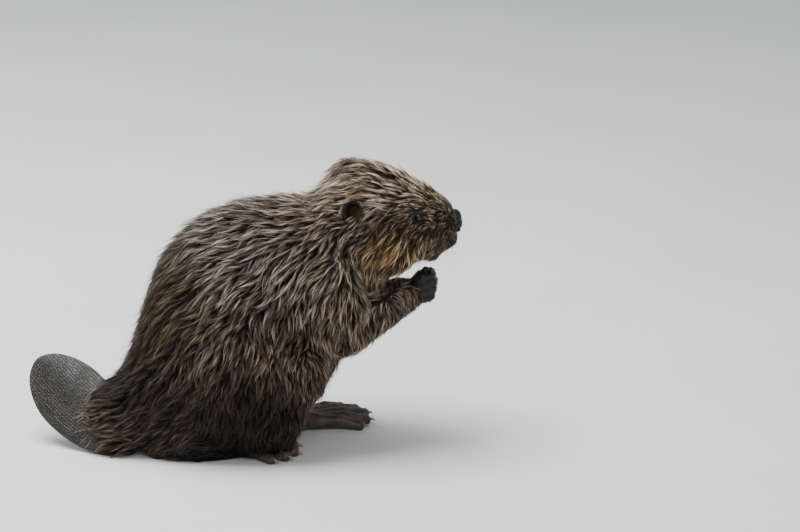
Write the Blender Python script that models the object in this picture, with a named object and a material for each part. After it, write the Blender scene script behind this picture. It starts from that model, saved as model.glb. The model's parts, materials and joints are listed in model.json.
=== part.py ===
"""A life-size beaver sitting up on its haunches, hands raised together in front of the mouth.

Metres, +Z up. The animal looks along +X and its left side is +Y. The solids run out to the tips
of the coat. The furred body is blended from a lofted barrel and round muscle forms, then parted
with thin cuts into head, jaw, neck, trunk, tail root, arms and legs. The bare parts (nose, ears,
eyes, hands, feet, claws and tail paddle) are modelled on their own and let into it.
"""

import math
from dataclasses import dataclass

import bmesh
import bpy
from mathutils import Matrix, Vector

# Joints and resolution
JOINT_GAP = 0.0003          # clear space between neighbouring parts
SHELL_LIMIT = 2.0           # how far a sharp corner may move, in gaps
CLAW_CLEARANCE = 0.0018     # wider space between a hind claw and the coat that hangs round it
FLESH_VOXEL = 0.004         # grid on which the furred forms are blended
DETAIL_VOXEL = 0.0018       # grid for hands, feet and nose
FLESH_FACES = 2500          # triangles left on the furred body
HAND_FACES = 210
FOOT_FACES = 250
NOSE_FACES = 110
BOUND_FACES = 200           # triangles of the rounded form that bounds an arm
RING_POINTS = 32            # points round one section of the barrel
RING_STEPS = 4              # sections interpolated from one station to the next
BLOCK_REACH = 0.6           # half-size of the blocks that cut the body across
ARM_MARGIN = 0.003          # how far the bounds of an arm lie outside its coat

# Head
EYE_RADIUS = 0.0056
EYE_CENTRE = (0.2385, 0.0395, 0.3150)
EAR_CENTRE = (0.1525, 0.0585, 0.3305)
EAR_FACING = (0.52, 1.0, -0.06)
EAR_HALF_HEIGHT = 0.0155
EAR_HALF_WIDTH = 0.0140
EAR_HALF_THICKNESS = 0.0046
NOSE_CENTRE = (0.2865, 0.0, 0.3005)
NOSE_HALF_SIZE = (0.0096, 0.0150, 0.0146)

# Arms
SHOULDER = (0.122, 0.062, 0.238)
ELBOW = (0.142, 0.074, 0.170)
WRIST = (0.235, 0.033, 0.210)
SHOULDER_RADIUS = 0.044
ELBOW_RADIUS = 0.033
WRIST_RADIUS = 0.0165
LEFT_HAND_DROP = 0.016      # the left hand is held this much lower than the right
PALM_CENTRE = (0.2430, 0.030, 0.2185)
PALM_HALF_SIZE = (0.0140, 0.0110, 0.0215)
FINGER_RADIUS = 0.0054
FINGER_PITCH = 0.0100
FINGER_COUNT = 4
FORE_CLAW_LENGTH = 0.0085
FORE_CLAW_RADIUS = 0.0022

THUMB_ROOT = (0.2405, 0.0290, 0.2350)
KNUCKLE = (0.2465, 0.0375)  # where each finger leaves the back of the hand

# Hind legs: the left foot stands forward of the body, the right one is tucked under the haunch
HIP = (-0.030, 0.064, 0.125)
KNEE = (0.077, 0.078, 0.112)
HIP_RADIUS = 0.062
KNEE_RADIUS = 0.046
ANKLE_RADIUS = 0.028
LEFT_HEEL = (0.040, 0.020)
LEFT_SPLAY = math.radians(27.0)
RIGHT_HEEL = (-0.058, -0.018)
RIGHT_SPLAY = math.radians(-19.0)
FOOT_LENGTH = 0.150         # heel to the tip of the longest toe, without its claw
TOE_RADIUS = 0.0072
HEEL_RADIUS = 0.0165
INSTEP_RADIUS = 0.0185
INSTEP_SHARE = 0.30         # places along the foot, as shares of its length
TOE_ROOT_SHARE = 0.44
SOLE_HEIGHT = 0.0130        # height of the foot's centre line behind the toes
WEB_HEIGHT = 0.0065
WEB_RADIUS = 0.0034
HIND_CLAW_LENGTH = 0.0125
HIND_CLAW_RADIUS = 0.0034

# Tail: it leaves the rump a little to the right, then the paddle curves away to the left
TAIL_ROUTE = ((-0.126, -0.060, 0.0285), (-0.173, -0.047, 0.0170), (-0.262, 0.022, 0.1040))
PADDLE_HALF_WIDTH = 0.0470
PADDLE_WIDEST = 0.71        # share of the length at which the paddle is widest
PADDLE_ROLL_ROOT = math.radians(46.5)
PADDLE_ROLL_TIP = math.radians(46.8)
PADDLE_HALF_THICKNESS = 0.0095
PADDLE_ARCH = 2.6           # how strongly the upper face bulges across its width
PADDLE_STEPS = 14
PADDLE_SIDES = 16


@dataclass(frozen=True)
class Form:
    """A round mass of muscle and coat: its centre, given for the left side, and its half-sizes."""

    centre: tuple[float, float, float]
    half_size: tuple[float, float, float]


@dataclass(frozen=True)
class Toe:
    """One toe: its angle from the foot's axis, its share of the foot's length, its offset outward."""

    spread: float
    reach: float
    offset: float


# Round forms on both sides of the barrel
HAUNCH = Form((-0.010, 0.067, 0.113), (0.092, 0.056, 0.104))
SHANK_COAT = Form((0.036, 0.070, 0.066), (0.058, 0.048, 0.064))
RUMP_SKIRT = Form((-0.050, 0.046, 0.034), (0.088, 0.056, 0.062))
FOOT_DRAPE = Form((0.026, 0.062, 0.040), (0.046, 0.031, 0.050))
CHEEK = Form((0.205, 0.030, 0.272), (0.036, 0.032, 0.036))
BROW = Form((0.222, 0.024, 0.330), (0.026, 0.019, 0.017))
LIP_PAD = Form((0.265, 0.013, 0.283), (0.024, 0.019, 0.024))
NOSE_WING = Form((0.2855, 0.0085, 0.2990), (0.0085, 0.0075, 0.0090))

# Round forms in the mid-plane
CHIN = Form((0.259, 0.0, 0.260), (0.021, 0.018, 0.0155))
CROWN_MOP = Form((0.148, 0.0, 0.360), (0.027, 0.036, 0.025))
JAW_BOUND = Form((0.246, 0.0, 0.238), (0.046, 0.034, 0.0225))
JAW_SLOPE = math.radians(6.0)

# Balls whose hull bounds a haunch and thigh, and the three that make the tail root, with their radii
LEG_BOUND = (((0.024, 0.112, 0.132), 0.074), ((0.094, 0.104, 0.104), 0.068),
             ((0.016, 0.104, 0.020), 0.062), ((0.072, 0.100, 0.020), 0.058))
TAIL_ROOT = (((-0.095, -0.016, 0.066), 0.062), ((-0.153, -0.036, 0.050), 0.043), ((-0.118, -0.048, 0.0435), 0.040))

# Inner toe first
TOES = (
    Toe(math.radians(-24.0), 0.84, -0.0190),
    Toe(math.radians(-11.0), 0.94, -0.0095),
    Toe(math.radians(1.0), 1.00, 0.0007),
    Toe(math.radians(10.0), 0.98, 0.0105),
    Toe(math.radians(18.0), 0.90, 0.0200),
)


@dataclass(frozen=True)
class Station:
    """One section of the barrel: its back and belly points in the mid-plane and its half-width."""

    back: tuple[float, float]
    belly: tuple[float, float]
    half_width: float


# From the tail root over the rump and back to the crown and on to the muzzle
BARREL = (
    Station((-0.172, 0.052), (-0.176, 0.006), 0.032),
    Station((-0.156, 0.086), (-0.152, -0.004), 0.054),
    Station((-0.137, 0.126), (-0.112, -0.006), 0.080),
    Station((-0.118, 0.188), (-0.055, -0.006), 0.102),
    Station((-0.0965, 0.248), (0.005, 0.000), 0.110),
    Station((-0.056, 0.296), (0.065, 0.018), 0.110),
    Station((0.001, 0.324), (0.105, 0.060), 0.102),
    Station((0.055, 0.3315), (0.138, 0.115), 0.092),
    Station((0.092, 0.3400), (0.158, 0.165), 0.082),
    Station((0.127, 0.370), (0.178, 0.198), 0.071),
    Station((0.151, 0.382), (0.198, 0.222), 0.063),
    Station((0.181, 0.380), (0.215, 0.238), 0.059),
    Station((0.2145, 0.367), (0.232, 0.245), 0.053),
    Station((0.2415, 0.351), (0.247, 0.248), 0.045),
    Station((0.2650, 0.336), (0.264, 0.249), 0.037),
    Station((0.2820, 0.320), (0.277, 0.253), 0.029),
    Station((0.2890, 0.302), (0.286, 0.264), 0.020),
)

# Colours (linear RGB) and roughness of each material
FUR = ("fur", (0.050, 0.030, 0.018), 0.55)
CHEEK_FUR = ("cheek_fur", (0.110, 0.066, 0.034), 0.60)
EAR_SKIN = ("ear_skin", (0.014, 0.012, 0.011), 0.60)
NOSE_SKIN = ("nose_skin", (0.022, 0.023, 0.027), 0.45)
PAW_SKIN = ("paw_skin", (0.026, 0.021, 0.021), 0.50)
TAIL_SKIN = ("tail_skin", (0.075, 0.072, 0.074), 0.50)
EYE_GLOSS = ("eye_gloss", (0.006, 0.005, 0.005), 0.08)
CLAW_HORN = ("claw_horn", (0.155, 0.095, 0.078), 0.40)


# Cuts across the body, each at a point and toward a direction: nape to throat, withers to breast, rump
CROSS_CUTS = (
    ("head", ((0.159, 0.0, 0.290), (0.93, 0.0, 0.36)), CHEEK_FUR),
    ("neck", ((0.118, 0.0, 0.262), (0.90, 0.0, 0.43)), FUR),
    ("tail_root", ((-0.143, 0.0, 0.050), (-0.95, 0.0, -0.10)), FUR),
)


def reset_scene() -> None:
    """Remove whatever the file holds."""
    for obj in list(bpy.data.objects):
        bpy.data.objects.remove(obj, do_unlink=True)


def make_material(finish: tuple) -> bpy.types.Material:
    """Return the Principled material of one finish, made on first use."""
    name, colour, roughness = finish
    material = bpy.data.materials.get(name)
    if material:
        return material
    material = bpy.data.materials.new(name)
    material.use_nodes = True
    shader = material.node_tree.nodes["Principled BSDF"]
    shader.inputs["Base Color"].default_value = (*colour, 1.0)
    shader.inputs["Roughness"].default_value = roughness
    shader.inputs["Metallic"].default_value = 0.0
    return material


def to_object(name: str, bm: bmesh.types.BMesh) -> bpy.types.Object:
    """Turn a finished BMesh into an object with its faces outward."""
    bmesh.ops.recalc_face_normals(bm, faces=bm.faces)
    mesh = bpy.data.meshes.new(name)
    bm.to_mesh(mesh)
    bm.free()
    obj = bpy.data.objects.new(name, mesh)
    bpy.context.scene.collection.objects.link(obj)
    return obj


def remove(*objects: bpy.types.Object) -> None:
    """Delete objects that were only needed for a cut."""
    for obj in objects:
        bpy.data.objects.remove(obj, do_unlink=True)


def settle_modifiers(obj: bpy.types.Object) -> None:
    """Make what the modifiers give the object's own mesh."""
    graph = bpy.context.evaluated_depsgraph_get()
    mesh = bpy.data.meshes.new_from_object(obj.evaluated_get(graph))
    obj.modifiers.clear()
    obj.data = mesh


def sided(point: tuple, side: int) -> Vector:
    """Return a point given for the left (+Y) side, on the side asked for."""
    return Vector((point[0], point[1] * side, point[2]))


def hand_point(point: tuple, side: int) -> Vector:
    """Return a point of a hand, given at the right hand's height, on the side asked for."""
    drop = LEFT_HAND_DROP if side > 0 else 0.0
    return sided(point, side) - Vector((0.0, 0.0, drop))


def add_ellipsoid(bm: bmesh.types.BMesh, centre: Vector, radii: tuple, turn: Matrix | None = None,
                  segments: int = 24) -> None:
    """Add a closed ellipsoid to bm."""
    place = Matrix.Translation(centre) @ (turn or Matrix.Identity(4)) @ Matrix.Diagonal((*radii, 1.0))
    bmesh.ops.create_uvsphere(bm, u_segments=segments, v_segments=segments // 2, radius=1.0, matrix=place)


def add_hull(bm: bmesh.types.BMesh, balls: list[tuple[Vector, float]], detail: int) -> None:
    """Add the closed convex hull of some balls, each given by its centre and radius."""
    hull = bmesh.new()
    for centre, radius in balls:
        bmesh.ops.create_icosphere(hull, subdivisions=detail, radius=radius, matrix=Matrix.Translation(centre))
    made = bmesh.ops.convex_hull(hull, input=list(hull.verts))
    spare = made["geom_interior"] + made["geom_unused"]
    inner = {item for item in spare if isinstance(item, bmesh.types.BMVert)}
    bmesh.ops.delete(hull, geom=list(inner), context="VERTS")
    mesh = bpy.data.meshes.new("hull")
    hull.to_mesh(mesh)
    hull.free()
    bm.from_mesh(mesh)
    bpy.data.meshes.remove(mesh)


def add_taper(bm: bmesh.types.BMesh, start: Vector, end: Vector, start_radius: float, end_radius: float,
              detail: int = 2) -> None:
    """Add a tapered limb segment with round ends."""
    add_hull(bm, [(start, start_radius), (end, end_radius)], detail)


def add_chain(bm: bmesh.types.BMesh, points: list[Vector], radii: list[float], detail: int = 2) -> None:
    """Add tapered segments from point to point."""
    for index in range(len(points) - 1):
        add_taper(bm, points[index], points[index + 1], radii[index], radii[index + 1], detail)


def add_rings(bm: bmesh.types.BMesh, rings: list[list[Vector]]) -> None:
    """Add a closed tube through rings of equal point count, its ends filled."""
    loops = [[bm.verts.new(point) for point in ring] for ring in rings]
    count = len(loops[0])
    for near, far in zip(loops, loops[1:]):
        for index in range(count):
            after = (index + 1) % count
            bm.faces.new((near[index], near[after], far[after], far[index]))
    bm.faces.new(loops[0])
    bm.faces.new(list(reversed(loops[-1])))


def catmull_rom(before: float, start: float, end: float, after: float, t: float) -> float:
    """Return the smooth curve through start (t=0) and end (t=1)."""
    linear = end - before
    square = 2.0 * before - 5.0 * start + 4.0 * end - after
    cube = 3.0 * start - before - 3.0 * end + after
    return 0.5 * (2.0 * start + linear * t + square * t * t + cube * t * t * t)


def barrel_sections() -> list[tuple[float, ...]]:
    """Return the barrel's stations with smooth steps between them, each as five numbers."""
    rows = [(*station.back, *station.belly, station.half_width) for station in BARREL]
    last = len(rows) - 1
    sections = []
    for index in range(last):
        around = [rows[max(index - 1, 0)], rows[index], rows[index + 1], rows[min(index + 2, last)]]
        for step in range(RING_STEPS):
            t = step / RING_STEPS
            sections.append(tuple(catmull_rom(*column, t) for column in zip(*around)))
    sections.append(rows[last])
    return sections


def add_barrel(bm: bmesh.types.BMesh) -> None:
    """Add the loft from the tail root to the muzzle."""
    rings = []
    for back_x, back_z, belly_x, belly_z, half_width in barrel_sections():
        back = Vector((back_x, 0.0, back_z))
        belly = Vector((belly_x, 0.0, belly_z))
        centre = (back + belly) / 2.0
        up = (back - belly) / 2.0
        ring = []
        for index in range(RING_POINTS):
            angle = math.tau * index / RING_POINTS
            ring.append(centre + up * math.sin(angle) + Vector((0.0, half_width * math.cos(angle), 0.0)))
        rings.append(ring)
    add_rings(bm, rings)


def blend(name: str, bm: bmesh.types.BMesh, voxel: float, smoothing: int, faces: int) -> bpy.types.Object:
    """Melt overlapping closed forms into one smooth body with about the given number of triangles."""
    obj = to_object(name, bm)
    remesh = obj.modifiers.new("melt", "REMESH")
    remesh.mode = "VOXEL"
    remesh.voxel_size = voxel
    smooth = obj.modifiers.new("soften", "SMOOTH")
    smooth.factor = 0.5
    smooth.iterations = smoothing
    settle_modifiers(obj)
    triangles = sum(len(polygon.vertices) - 2 for polygon in obj.data.polygons)
    thin = obj.modifiers.new("thin", "DECIMATE")
    thin.ratio = min(1.0, faces / triangles)
    settle_modifiers(obj)
    return obj


def boolean(obj: bpy.types.Object, cutter: bpy.types.Object, operation: str) -> None:
    """Cut obj with cutter, which stays as it is."""
    cutter.hide_render = True
    cutter.display_type = "WIRE"
    cut = obj.modifiers.new("cut", "BOOLEAN")
    cut.solver = "EXACT"
    cut.operation = operation
    cut.object = cutter
    settle_modifiers(obj)


def keep_largest(obj: bpy.types.Object) -> None:
    """Drop crumbs that a cut left beside the main body."""
    bm = bmesh.new()
    bm.from_mesh(obj.data)
    left = set(bm.verts)
    islands = []
    while left:
        stack = [left.pop()]
        island = set(stack)
        while stack:
            for edge in stack.pop().link_edges:
                for vert in edge.verts:
                    if vert in left:
                        left.remove(vert)
                        island.add(vert)
                        stack.append(vert)
        islands.append(island)
    islands.sort(key=len, reverse=True)
    crumbs = [vert for island in islands[1:] for vert in island]
    bmesh.ops.delete(bm, geom=crumbs, context="VERTS")
    bm.to_mesh(obj.data)
    bm.free()


def copy_of(obj: bpy.types.Object, name: str, grow: float = 0.0) -> bpy.types.Object:
    """Return a copy of obj, its faces moved outward by grow."""
    bm = bmesh.new()
    bm.from_mesh(obj.data)
    bm.normal_update()
    moves = [vert.normal * (grow * min(vert.calc_shell_factor(), SHELL_LIMIT)) for vert in bm.verts]
    for vert, move in zip(bm.verts, moves):
        vert.co += move
    return to_object(name, bm)


def part_off(body: bpy.types.Object, name: str, bound: bpy.types.Object) -> bpy.types.Object:
    """Cut the part of body inside the closed form bound off it, with a thin gap between the two."""
    part = copy_of(body, name)
    boolean(part, bound, "INTERSECT")
    keep_largest(part)
    outer = copy_of(bound, "bound_outer", JOINT_GAP)
    boolean(body, outer, "DIFFERENCE")
    keep_largest(body)
    remove(bound, outer)
    return part


def let_in(body: bpy.types.Object, insert: bpy.types.Object, gap: float = JOINT_GAP) -> None:
    """Hollow body out where insert sits in it, with a gap round the insert."""
    cutter = copy_of(insert, "insert_cutter", gap)
    boolean(body, cutter, "DIFFERENCE")
    keep_largest(body)
    remove(cutter)


def level_on_floor(obj: bpy.types.Object) -> None:
    """Cut off what lies below Z = 0 and close the flat."""
    bm = bmesh.new()
    bm.from_mesh(obj.data)
    geometry = list(bm.verts) + list(bm.edges) + list(bm.faces)
    floor, down = (0.0, 0.0, 0.0), (0.0, 0.0, -1.0)
    bmesh.ops.bisect_plane(bm, geom=geometry, plane_co=floor, plane_no=down, clear_outer=True)
    rim = [edge for edge in bm.edges if edge.is_boundary]
    if rim:
        bmesh.ops.holes_fill(bm, edges=rim, sides=0)
    bmesh.ops.recalc_face_normals(bm, faces=bm.faces)
    bm.to_mesh(obj.data)
    bm.free()


def add_form(bm: bmesh.types.BMesh, form: Form, side: int) -> None:
    """Add a round form on the side asked for."""
    add_ellipsoid(bm, sided(form.centre, side), form.half_size)


def add_leg_forms(bm: bmesh.types.BMesh, side: int, ankle: Vector) -> None:
    """Add the haunch, thigh, shank and skirt of coat of one hind leg, and what hangs over a tucked foot."""
    add_chain(bm, [sided(HIP, side), sided(KNEE, side), ankle], [HIP_RADIUS, KNEE_RADIUS, ANKLE_RADIUS])
    for form in (HAUNCH, SHANK_COAT, RUMP_SKIRT):
        add_form(bm, form, side)
    if side < 0:
        add_form(bm, FOOT_DRAPE, side)


def add_arm_forms(bm: bmesh.types.BMesh, side: int, grow: float = 0.0) -> None:
    """Add the shoulder, upper arm and forearm of one side."""
    points = [sided(SHOULDER, side), sided(ELBOW, side), hand_point(WRIST, side)]
    radii = [radius + grow for radius in (SHOULDER_RADIUS, ELBOW_RADIUS, WRIST_RADIUS)]
    add_chain(bm, points, radii)


def add_head_forms(bm: bmesh.types.BMesh) -> None:
    """Add cheeks, brows, muzzle pads, chin and the mop of hair on the crown."""
    for side in (-1, 1):
        for form in (CHEEK, BROW, LIP_PAD):
            add_form(bm, form, side)
    for form in (CHIN, CROWN_MOP):
        add_form(bm, form, 1)


def add_tail_root(bm: bmesh.types.BMesh) -> None:
    """Add the furred root of the tail, which leans to the right like the tail itself."""
    add_hull(bm, [(Vector(centre), radius) for centre, radius in TAIL_ROOT], 2)


def make_flesh(ankles: dict[int, Vector]) -> bpy.types.Object:
    """Return the furred body in one piece, level on the floor."""
    bm = bmesh.new()
    add_barrel(bm)
    add_head_forms(bm)
    add_tail_root(bm)
    for side, ankle in ankles.items():
        add_leg_forms(bm, side, ankle)
        add_arm_forms(bm, side)
    flesh = blend("flesh", bm, FLESH_VOXEL, 3, FLESH_FACES)
    level_on_floor(flesh)
    return flesh


def half_space(point: tuple, normal: tuple) -> bpy.types.Object:
    """Return a block whose face passes through point and that fills the side normal points to."""
    outward = Vector(normal).normalized()
    turn = outward.to_track_quat("Z", "Y").to_matrix().to_4x4()
    centre = Vector(point) + outward * BLOCK_REACH
    bm = bmesh.new()
    bmesh.ops.create_cube(bm, size=2.0 * BLOCK_REACH, matrix=Matrix.Translation(centre) @ turn)
    return to_object("block", bm)


def jaw_bound() -> bpy.types.Object:
    """Return the form round the chin and lower jaw, below the line of the lips."""
    bm = bmesh.new()
    turn = Matrix.Rotation(JAW_SLOPE, 4, "Y")
    add_ellipsoid(bm, Vector(JAW_BOUND.centre), JAW_BOUND.half_size, turn, 16)
    return to_object("jaw_bound", bm)


def arm_bound(side: int) -> bpy.types.Object:
    """Return the form round one arm, a little outside its coat."""
    bm = bmesh.new()
    add_arm_forms(bm, side, ARM_MARGIN)
    return blend("arm_bound", bm, FLESH_VOXEL, 1, BOUND_FACES)


def leg_bound(side: int) -> bpy.types.Object:
    """Return the form round one haunch and thigh."""
    bm = bmesh.new()
    add_hull(bm, [(sided(centre, side), radius) for centre, radius in LEG_BOUND], 3)
    return blend("leg_bound", bm, FLESH_VOXEL, 1, BOUND_FACES)


def make_ear(side: int) -> bpy.types.Object:
    """Return a small round ear, dished on its outer face."""
    facing = sided(EAR_FACING, side).normalized()
    turn = facing.to_track_quat("Z", "Y").to_matrix().to_4x4()
    centre = sided(EAR_CENTRE, side)
    bm = bmesh.new()
    add_ellipsoid(bm, centre, (EAR_HALF_WIDTH, EAR_HALF_HEIGHT, EAR_HALF_THICKNESS), turn, 12)
    ear = to_object("ear_left" if side > 0 else "ear_right", bm)
    bm = bmesh.new()
    dish = (EAR_HALF_WIDTH * 0.74, EAR_HALF_HEIGHT * 0.74, EAR_HALF_THICKNESS)
    add_ellipsoid(bm, centre + facing * EAR_HALF_THICKNESS, dish, turn, 12)
    cutter = to_object("ear_dish", bm)
    boolean(ear, cutter, "DIFFERENCE")
    remove(cutter)
    return ear


def make_eye(side: int) -> bpy.types.Object:
    """Return one eyeball."""
    bm = bmesh.new()
    add_ellipsoid(bm, sided(EYE_CENTRE, side), (EYE_RADIUS,) * 3, segments=10)
    return to_object("eye_left" if side > 0 else "eye_right", bm)


def make_nose() -> bpy.types.Object:
    """Return the nose pad, a blunt bean with two wings."""
    bm = bmesh.new()
    add_ellipsoid(bm, Vector(NOSE_CENTRE), NOSE_HALF_SIZE)
    for side in (-1, 1):
        add_form(bm, NOSE_WING, side)
    return blend("nose", bm, DETAIL_VOXEL, 1, NOSE_FACES)


def finger_route(side: int, index: int) -> list[Vector]:
    """Return the joints of one finger, curled round towards the mid-plane."""
    height = PALM_CENTRE[2] + FINGER_PITCH * (index - (FINGER_COUNT - 1) / 2.0)
    reach = 1.0 - 0.10 * abs(index - 1.4)
    knuckle = hand_point((*KNUCKLE, height), side)
    bend = knuckle + Vector((0.0160 * reach, -0.0040 * side, 0.0010))
    curl = bend + Vector((0.0035, -0.0140 * side, -0.0015))
    tip = curl + Vector((-0.0085 * reach, -0.0080 * side, -0.0020))
    return [knuckle, bend, curl, tip]


def thumb_route(side: int) -> list[Vector]:
    """Return the joints of the thumb, laid over the top of the fist."""
    root = hand_point(THUMB_ROOT, side)
    middle = root + Vector((0.0070, -0.0060 * side, 0.0050))
    return [root, middle, middle + Vector((0.0070, -0.0060 * side, -0.0015))]


def digit_routes(side: int) -> list[list[Vector]]:
    """Return the joints of the thumb and fingers of one hand."""
    return [thumb_route(side)] + [finger_route(side, index) for index in range(FINGER_COUNT)]


def make_hand(side: int) -> bpy.types.Object:
    """Return one hand, a loose fist with its back turned outward."""
    bm = bmesh.new()
    palm = hand_point(PALM_CENTRE, side)
    add_ellipsoid(bm, palm, PALM_HALF_SIZE)
    palm_root = hand_point(WRIST, side) + Vector((-0.006, 0.002 * side, -0.004))
    add_taper(bm, palm_root, palm, WRIST_RADIUS * 0.66, WRIST_RADIUS * 0.74)
    for route in digit_routes(side):
        taper = [FINGER_RADIUS * (1.04 - 0.08 * joint) for joint in range(len(route))]
        add_chain(bm, route, taper, detail=1)
    return blend("hand_left" if side > 0 else "hand_right", bm, DETAIL_VOXEL, 1, HAND_FACES)


def make_claw(name: str, root: Vector, along: Vector, length: float, radius: float) -> bpy.types.Object:
    """Return a claw that starts at root and hooks downward as it tapers."""
    along = along.normalized()
    across = along.cross(Vector((0.0, 0.0, 1.0))).normalized()
    above = across.cross(along).normalized()
    steps = 3
    sides = 6
    rings = []
    for step in range(steps + 1):
        t = step / steps
        centre = root + along * (length * t) - above * (length * 0.22 * t * t)
        size = radius * (1.0 - 0.82 * t)
        ring = []
        for index in range(sides):
            angle = math.tau * index / sides
            ring.append(centre + across * (0.72 * size * math.cos(angle)) + above * (size * math.sin(angle)))
        rings.append(ring)
    bm = bmesh.new()
    add_rings(bm, rings)
    return to_object(name, bm)


def foot_frame(side: int) -> tuple[Vector, Vector, Vector]:
    """Return the heel, the foot's forward direction and the direction of its outer edge."""
    heel_x, heel_y = LEFT_HEEL if side > 0 else RIGHT_HEEL
    splay = LEFT_SPLAY if side > 0 else RIGHT_SPLAY
    forward = Vector((math.cos(splay), math.sin(splay), 0.0))
    outward = Vector((-math.sin(splay), math.cos(splay), 0.0)) * side
    return Vector((heel_x, heel_y, 0.0)), forward, outward


def toe_routes(side: int) -> list[list[Vector]]:
    """Return the joints of the five toes of one foot, inner toe first."""
    heel, forward, outward = foot_frame(side)
    routes = []
    for toe in TOES:
        along = forward * math.cos(toe.spread) + outward * math.sin(toe.spread)
        root = heel + forward * (FOOT_LENGTH * TOE_ROOT_SHARE) + outward * toe.offset
        root.z = SOLE_HEIGHT
        reach = FOOT_LENGTH * (toe.reach - TOE_ROOT_SHARE) - TOE_RADIUS
        middle = root + along * (reach * 0.55)
        tip = root + along * reach
        tip.z = TOE_RADIUS * 0.72
        routes.append([root, middle, tip])
    return routes


def make_foot(side: int) -> bpy.types.Object:
    """Return one webbed hind foot, flat on the floor."""
    heel, forward, _ = foot_frame(side)
    centre_line = Vector((0.0, 0.0, SOLE_HEIGHT))
    instep = heel + forward * (FOOT_LENGTH * INSTEP_SHARE) + centre_line
    bm = bmesh.new()
    add_taper(bm, heel + forward * HEEL_RADIUS + centre_line, instep, HEEL_RADIUS, INSTEP_RADIUS)
    routes = toe_routes(side)
    for route in routes:
        add_taper(bm, instep, route[0], INSTEP_RADIUS * 0.8, TOE_RADIUS * 1.4, detail=1)
        add_chain(bm, route, [TOE_RADIUS * 1.28, TOE_RADIUS * 1.08, TOE_RADIUS], detail=1)
    for inner, outer in zip(routes, routes[1:]):
        add_web(bm, inner, outer)
    foot = blend("foot_left" if side > 0 else "foot_right", bm, DETAIL_VOXEL * 1.2, 1, FOOT_FACES)
    level_on_floor(foot)
    return foot


def add_web(bm: bmesh.types.BMesh, inner: list[Vector], outer: list[Vector]) -> None:
    """Add the skin between two toes, the hull of small balls along both."""
    balls = [(Vector((point.x, point.y, min(point.z, WEB_HEIGHT))), WEB_RADIUS) for point in inner + outer]
    add_hull(bm, balls, 1)


def tail_frame(t: float) -> tuple[Vector, Vector, Vector]:
    """Return a point of the tail's centre line, and its directions across and upward there.

    t runs from 0 at the root to 1 at the tip. Across points to the raised edge.
    """
    root, bend, tip = (Vector(point) for point in TAIL_ROUTE)
    centre = root * (1.0 - t) ** 2 + bend * (2.0 * t * (1.0 - t)) + tip * t * t
    along = ((bend - root) * (1.0 - t) + (tip - bend) * t).normalized()
    level = along.cross(Vector((0.0, 0.0, 1.0))).normalized()
    rise = level.cross(along).normalized()
    roll = PADDLE_ROLL_ROOT + (PADDLE_ROLL_TIP - PADDLE_ROLL_ROOT) * t
    across = level * math.cos(roll) + rise * math.sin(roll)
    upward = rise * math.cos(roll) - level * math.sin(roll)
    return centre, across, upward


def paddle_half_width(t: float) -> float:
    """Return the paddle's half-width at t along it: a narrow root and a long oval blade."""
    if t < PADDLE_WIDEST:
        grow = math.sin(0.5 * math.pi * t / PADDLE_WIDEST)
        return PADDLE_HALF_WIDTH * (0.52 + 0.48 * grow)
    fall = (t - PADDLE_WIDEST) / (1.0 - PADDLE_WIDEST)
    return PADDLE_HALF_WIDTH * math.sqrt(max(1.0 - fall * fall, 0.012))


def make_paddle() -> bpy.types.Object:
    """Return the bare tail blade, rolled so that one edge rests on the floor."""
    rings = []
    for step in range(PADDLE_STEPS + 1):
        t = math.sin(0.5 * math.pi * step / PADDLE_STEPS)
        centre, across, upward = tail_frame(t)
        half_width = paddle_half_width(t)
        fullness = (1.15 - 0.45 * t) * (0.35 + 0.65 * half_width / PADDLE_HALF_WIDTH)
        half_thickness = PADDLE_HALF_THICKNESS * fullness
        ring = []
        for index in range(PADDLE_SIDES):
            angle = math.tau * index / PADDLE_SIDES
            offset = half_width * math.cos(angle)
            lift = half_thickness * math.sin(angle) - PADDLE_ARCH * offset * offset
            ring.append(centre + across * offset + upward * lift)
        rings.append(ring)
    bm = bmesh.new()
    add_rings(bm, rings)
    paddle = to_object("tail_paddle", bm)
    level_on_floor(paddle)
    return paddle


def finish(obj: bpy.types.Object, material: tuple, parent: bpy.types.Object, shift: Vector) -> None:
    """Give a part its origin in its own middle, its material, its parent and smooth shading."""
    obj.data.transform(Matrix.Translation(shift))
    low = Vector([min(vertex.co[axis] for vertex in obj.data.vertices) for axis in range(3)])
    high = Vector([max(vertex.co[axis] for vertex in obj.data.vertices) for axis in range(3)])
    middle = (low + high) / 2.0
    obj.data.transform(Matrix.Translation(-middle))
    obj.location = middle
    obj.parent = parent
    obj.data.name = obj.name
    obj.data.materials.clear()
    obj.data.materials.append(make_material(material))
    obj.data.shade_smooth()
    obj.data.set_sharp_from_angle(angle=math.radians(40.0))


def centring_shift(objects: list[bpy.types.Object]) -> Vector:
    """Return the move that puts the whole model's bounding box over the origin, standing on Z = 0."""
    points = [vertex.co for obj in objects for vertex in obj.data.vertices]
    low = [min(point[axis] for point in points) for axis in range(3)]
    high = [max(point[axis] for point in points) for axis in range(3)]
    return Vector((-(low[0] + high[0]) / 2.0, -(low[1] + high[1]) / 2.0, -low[2]))


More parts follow.
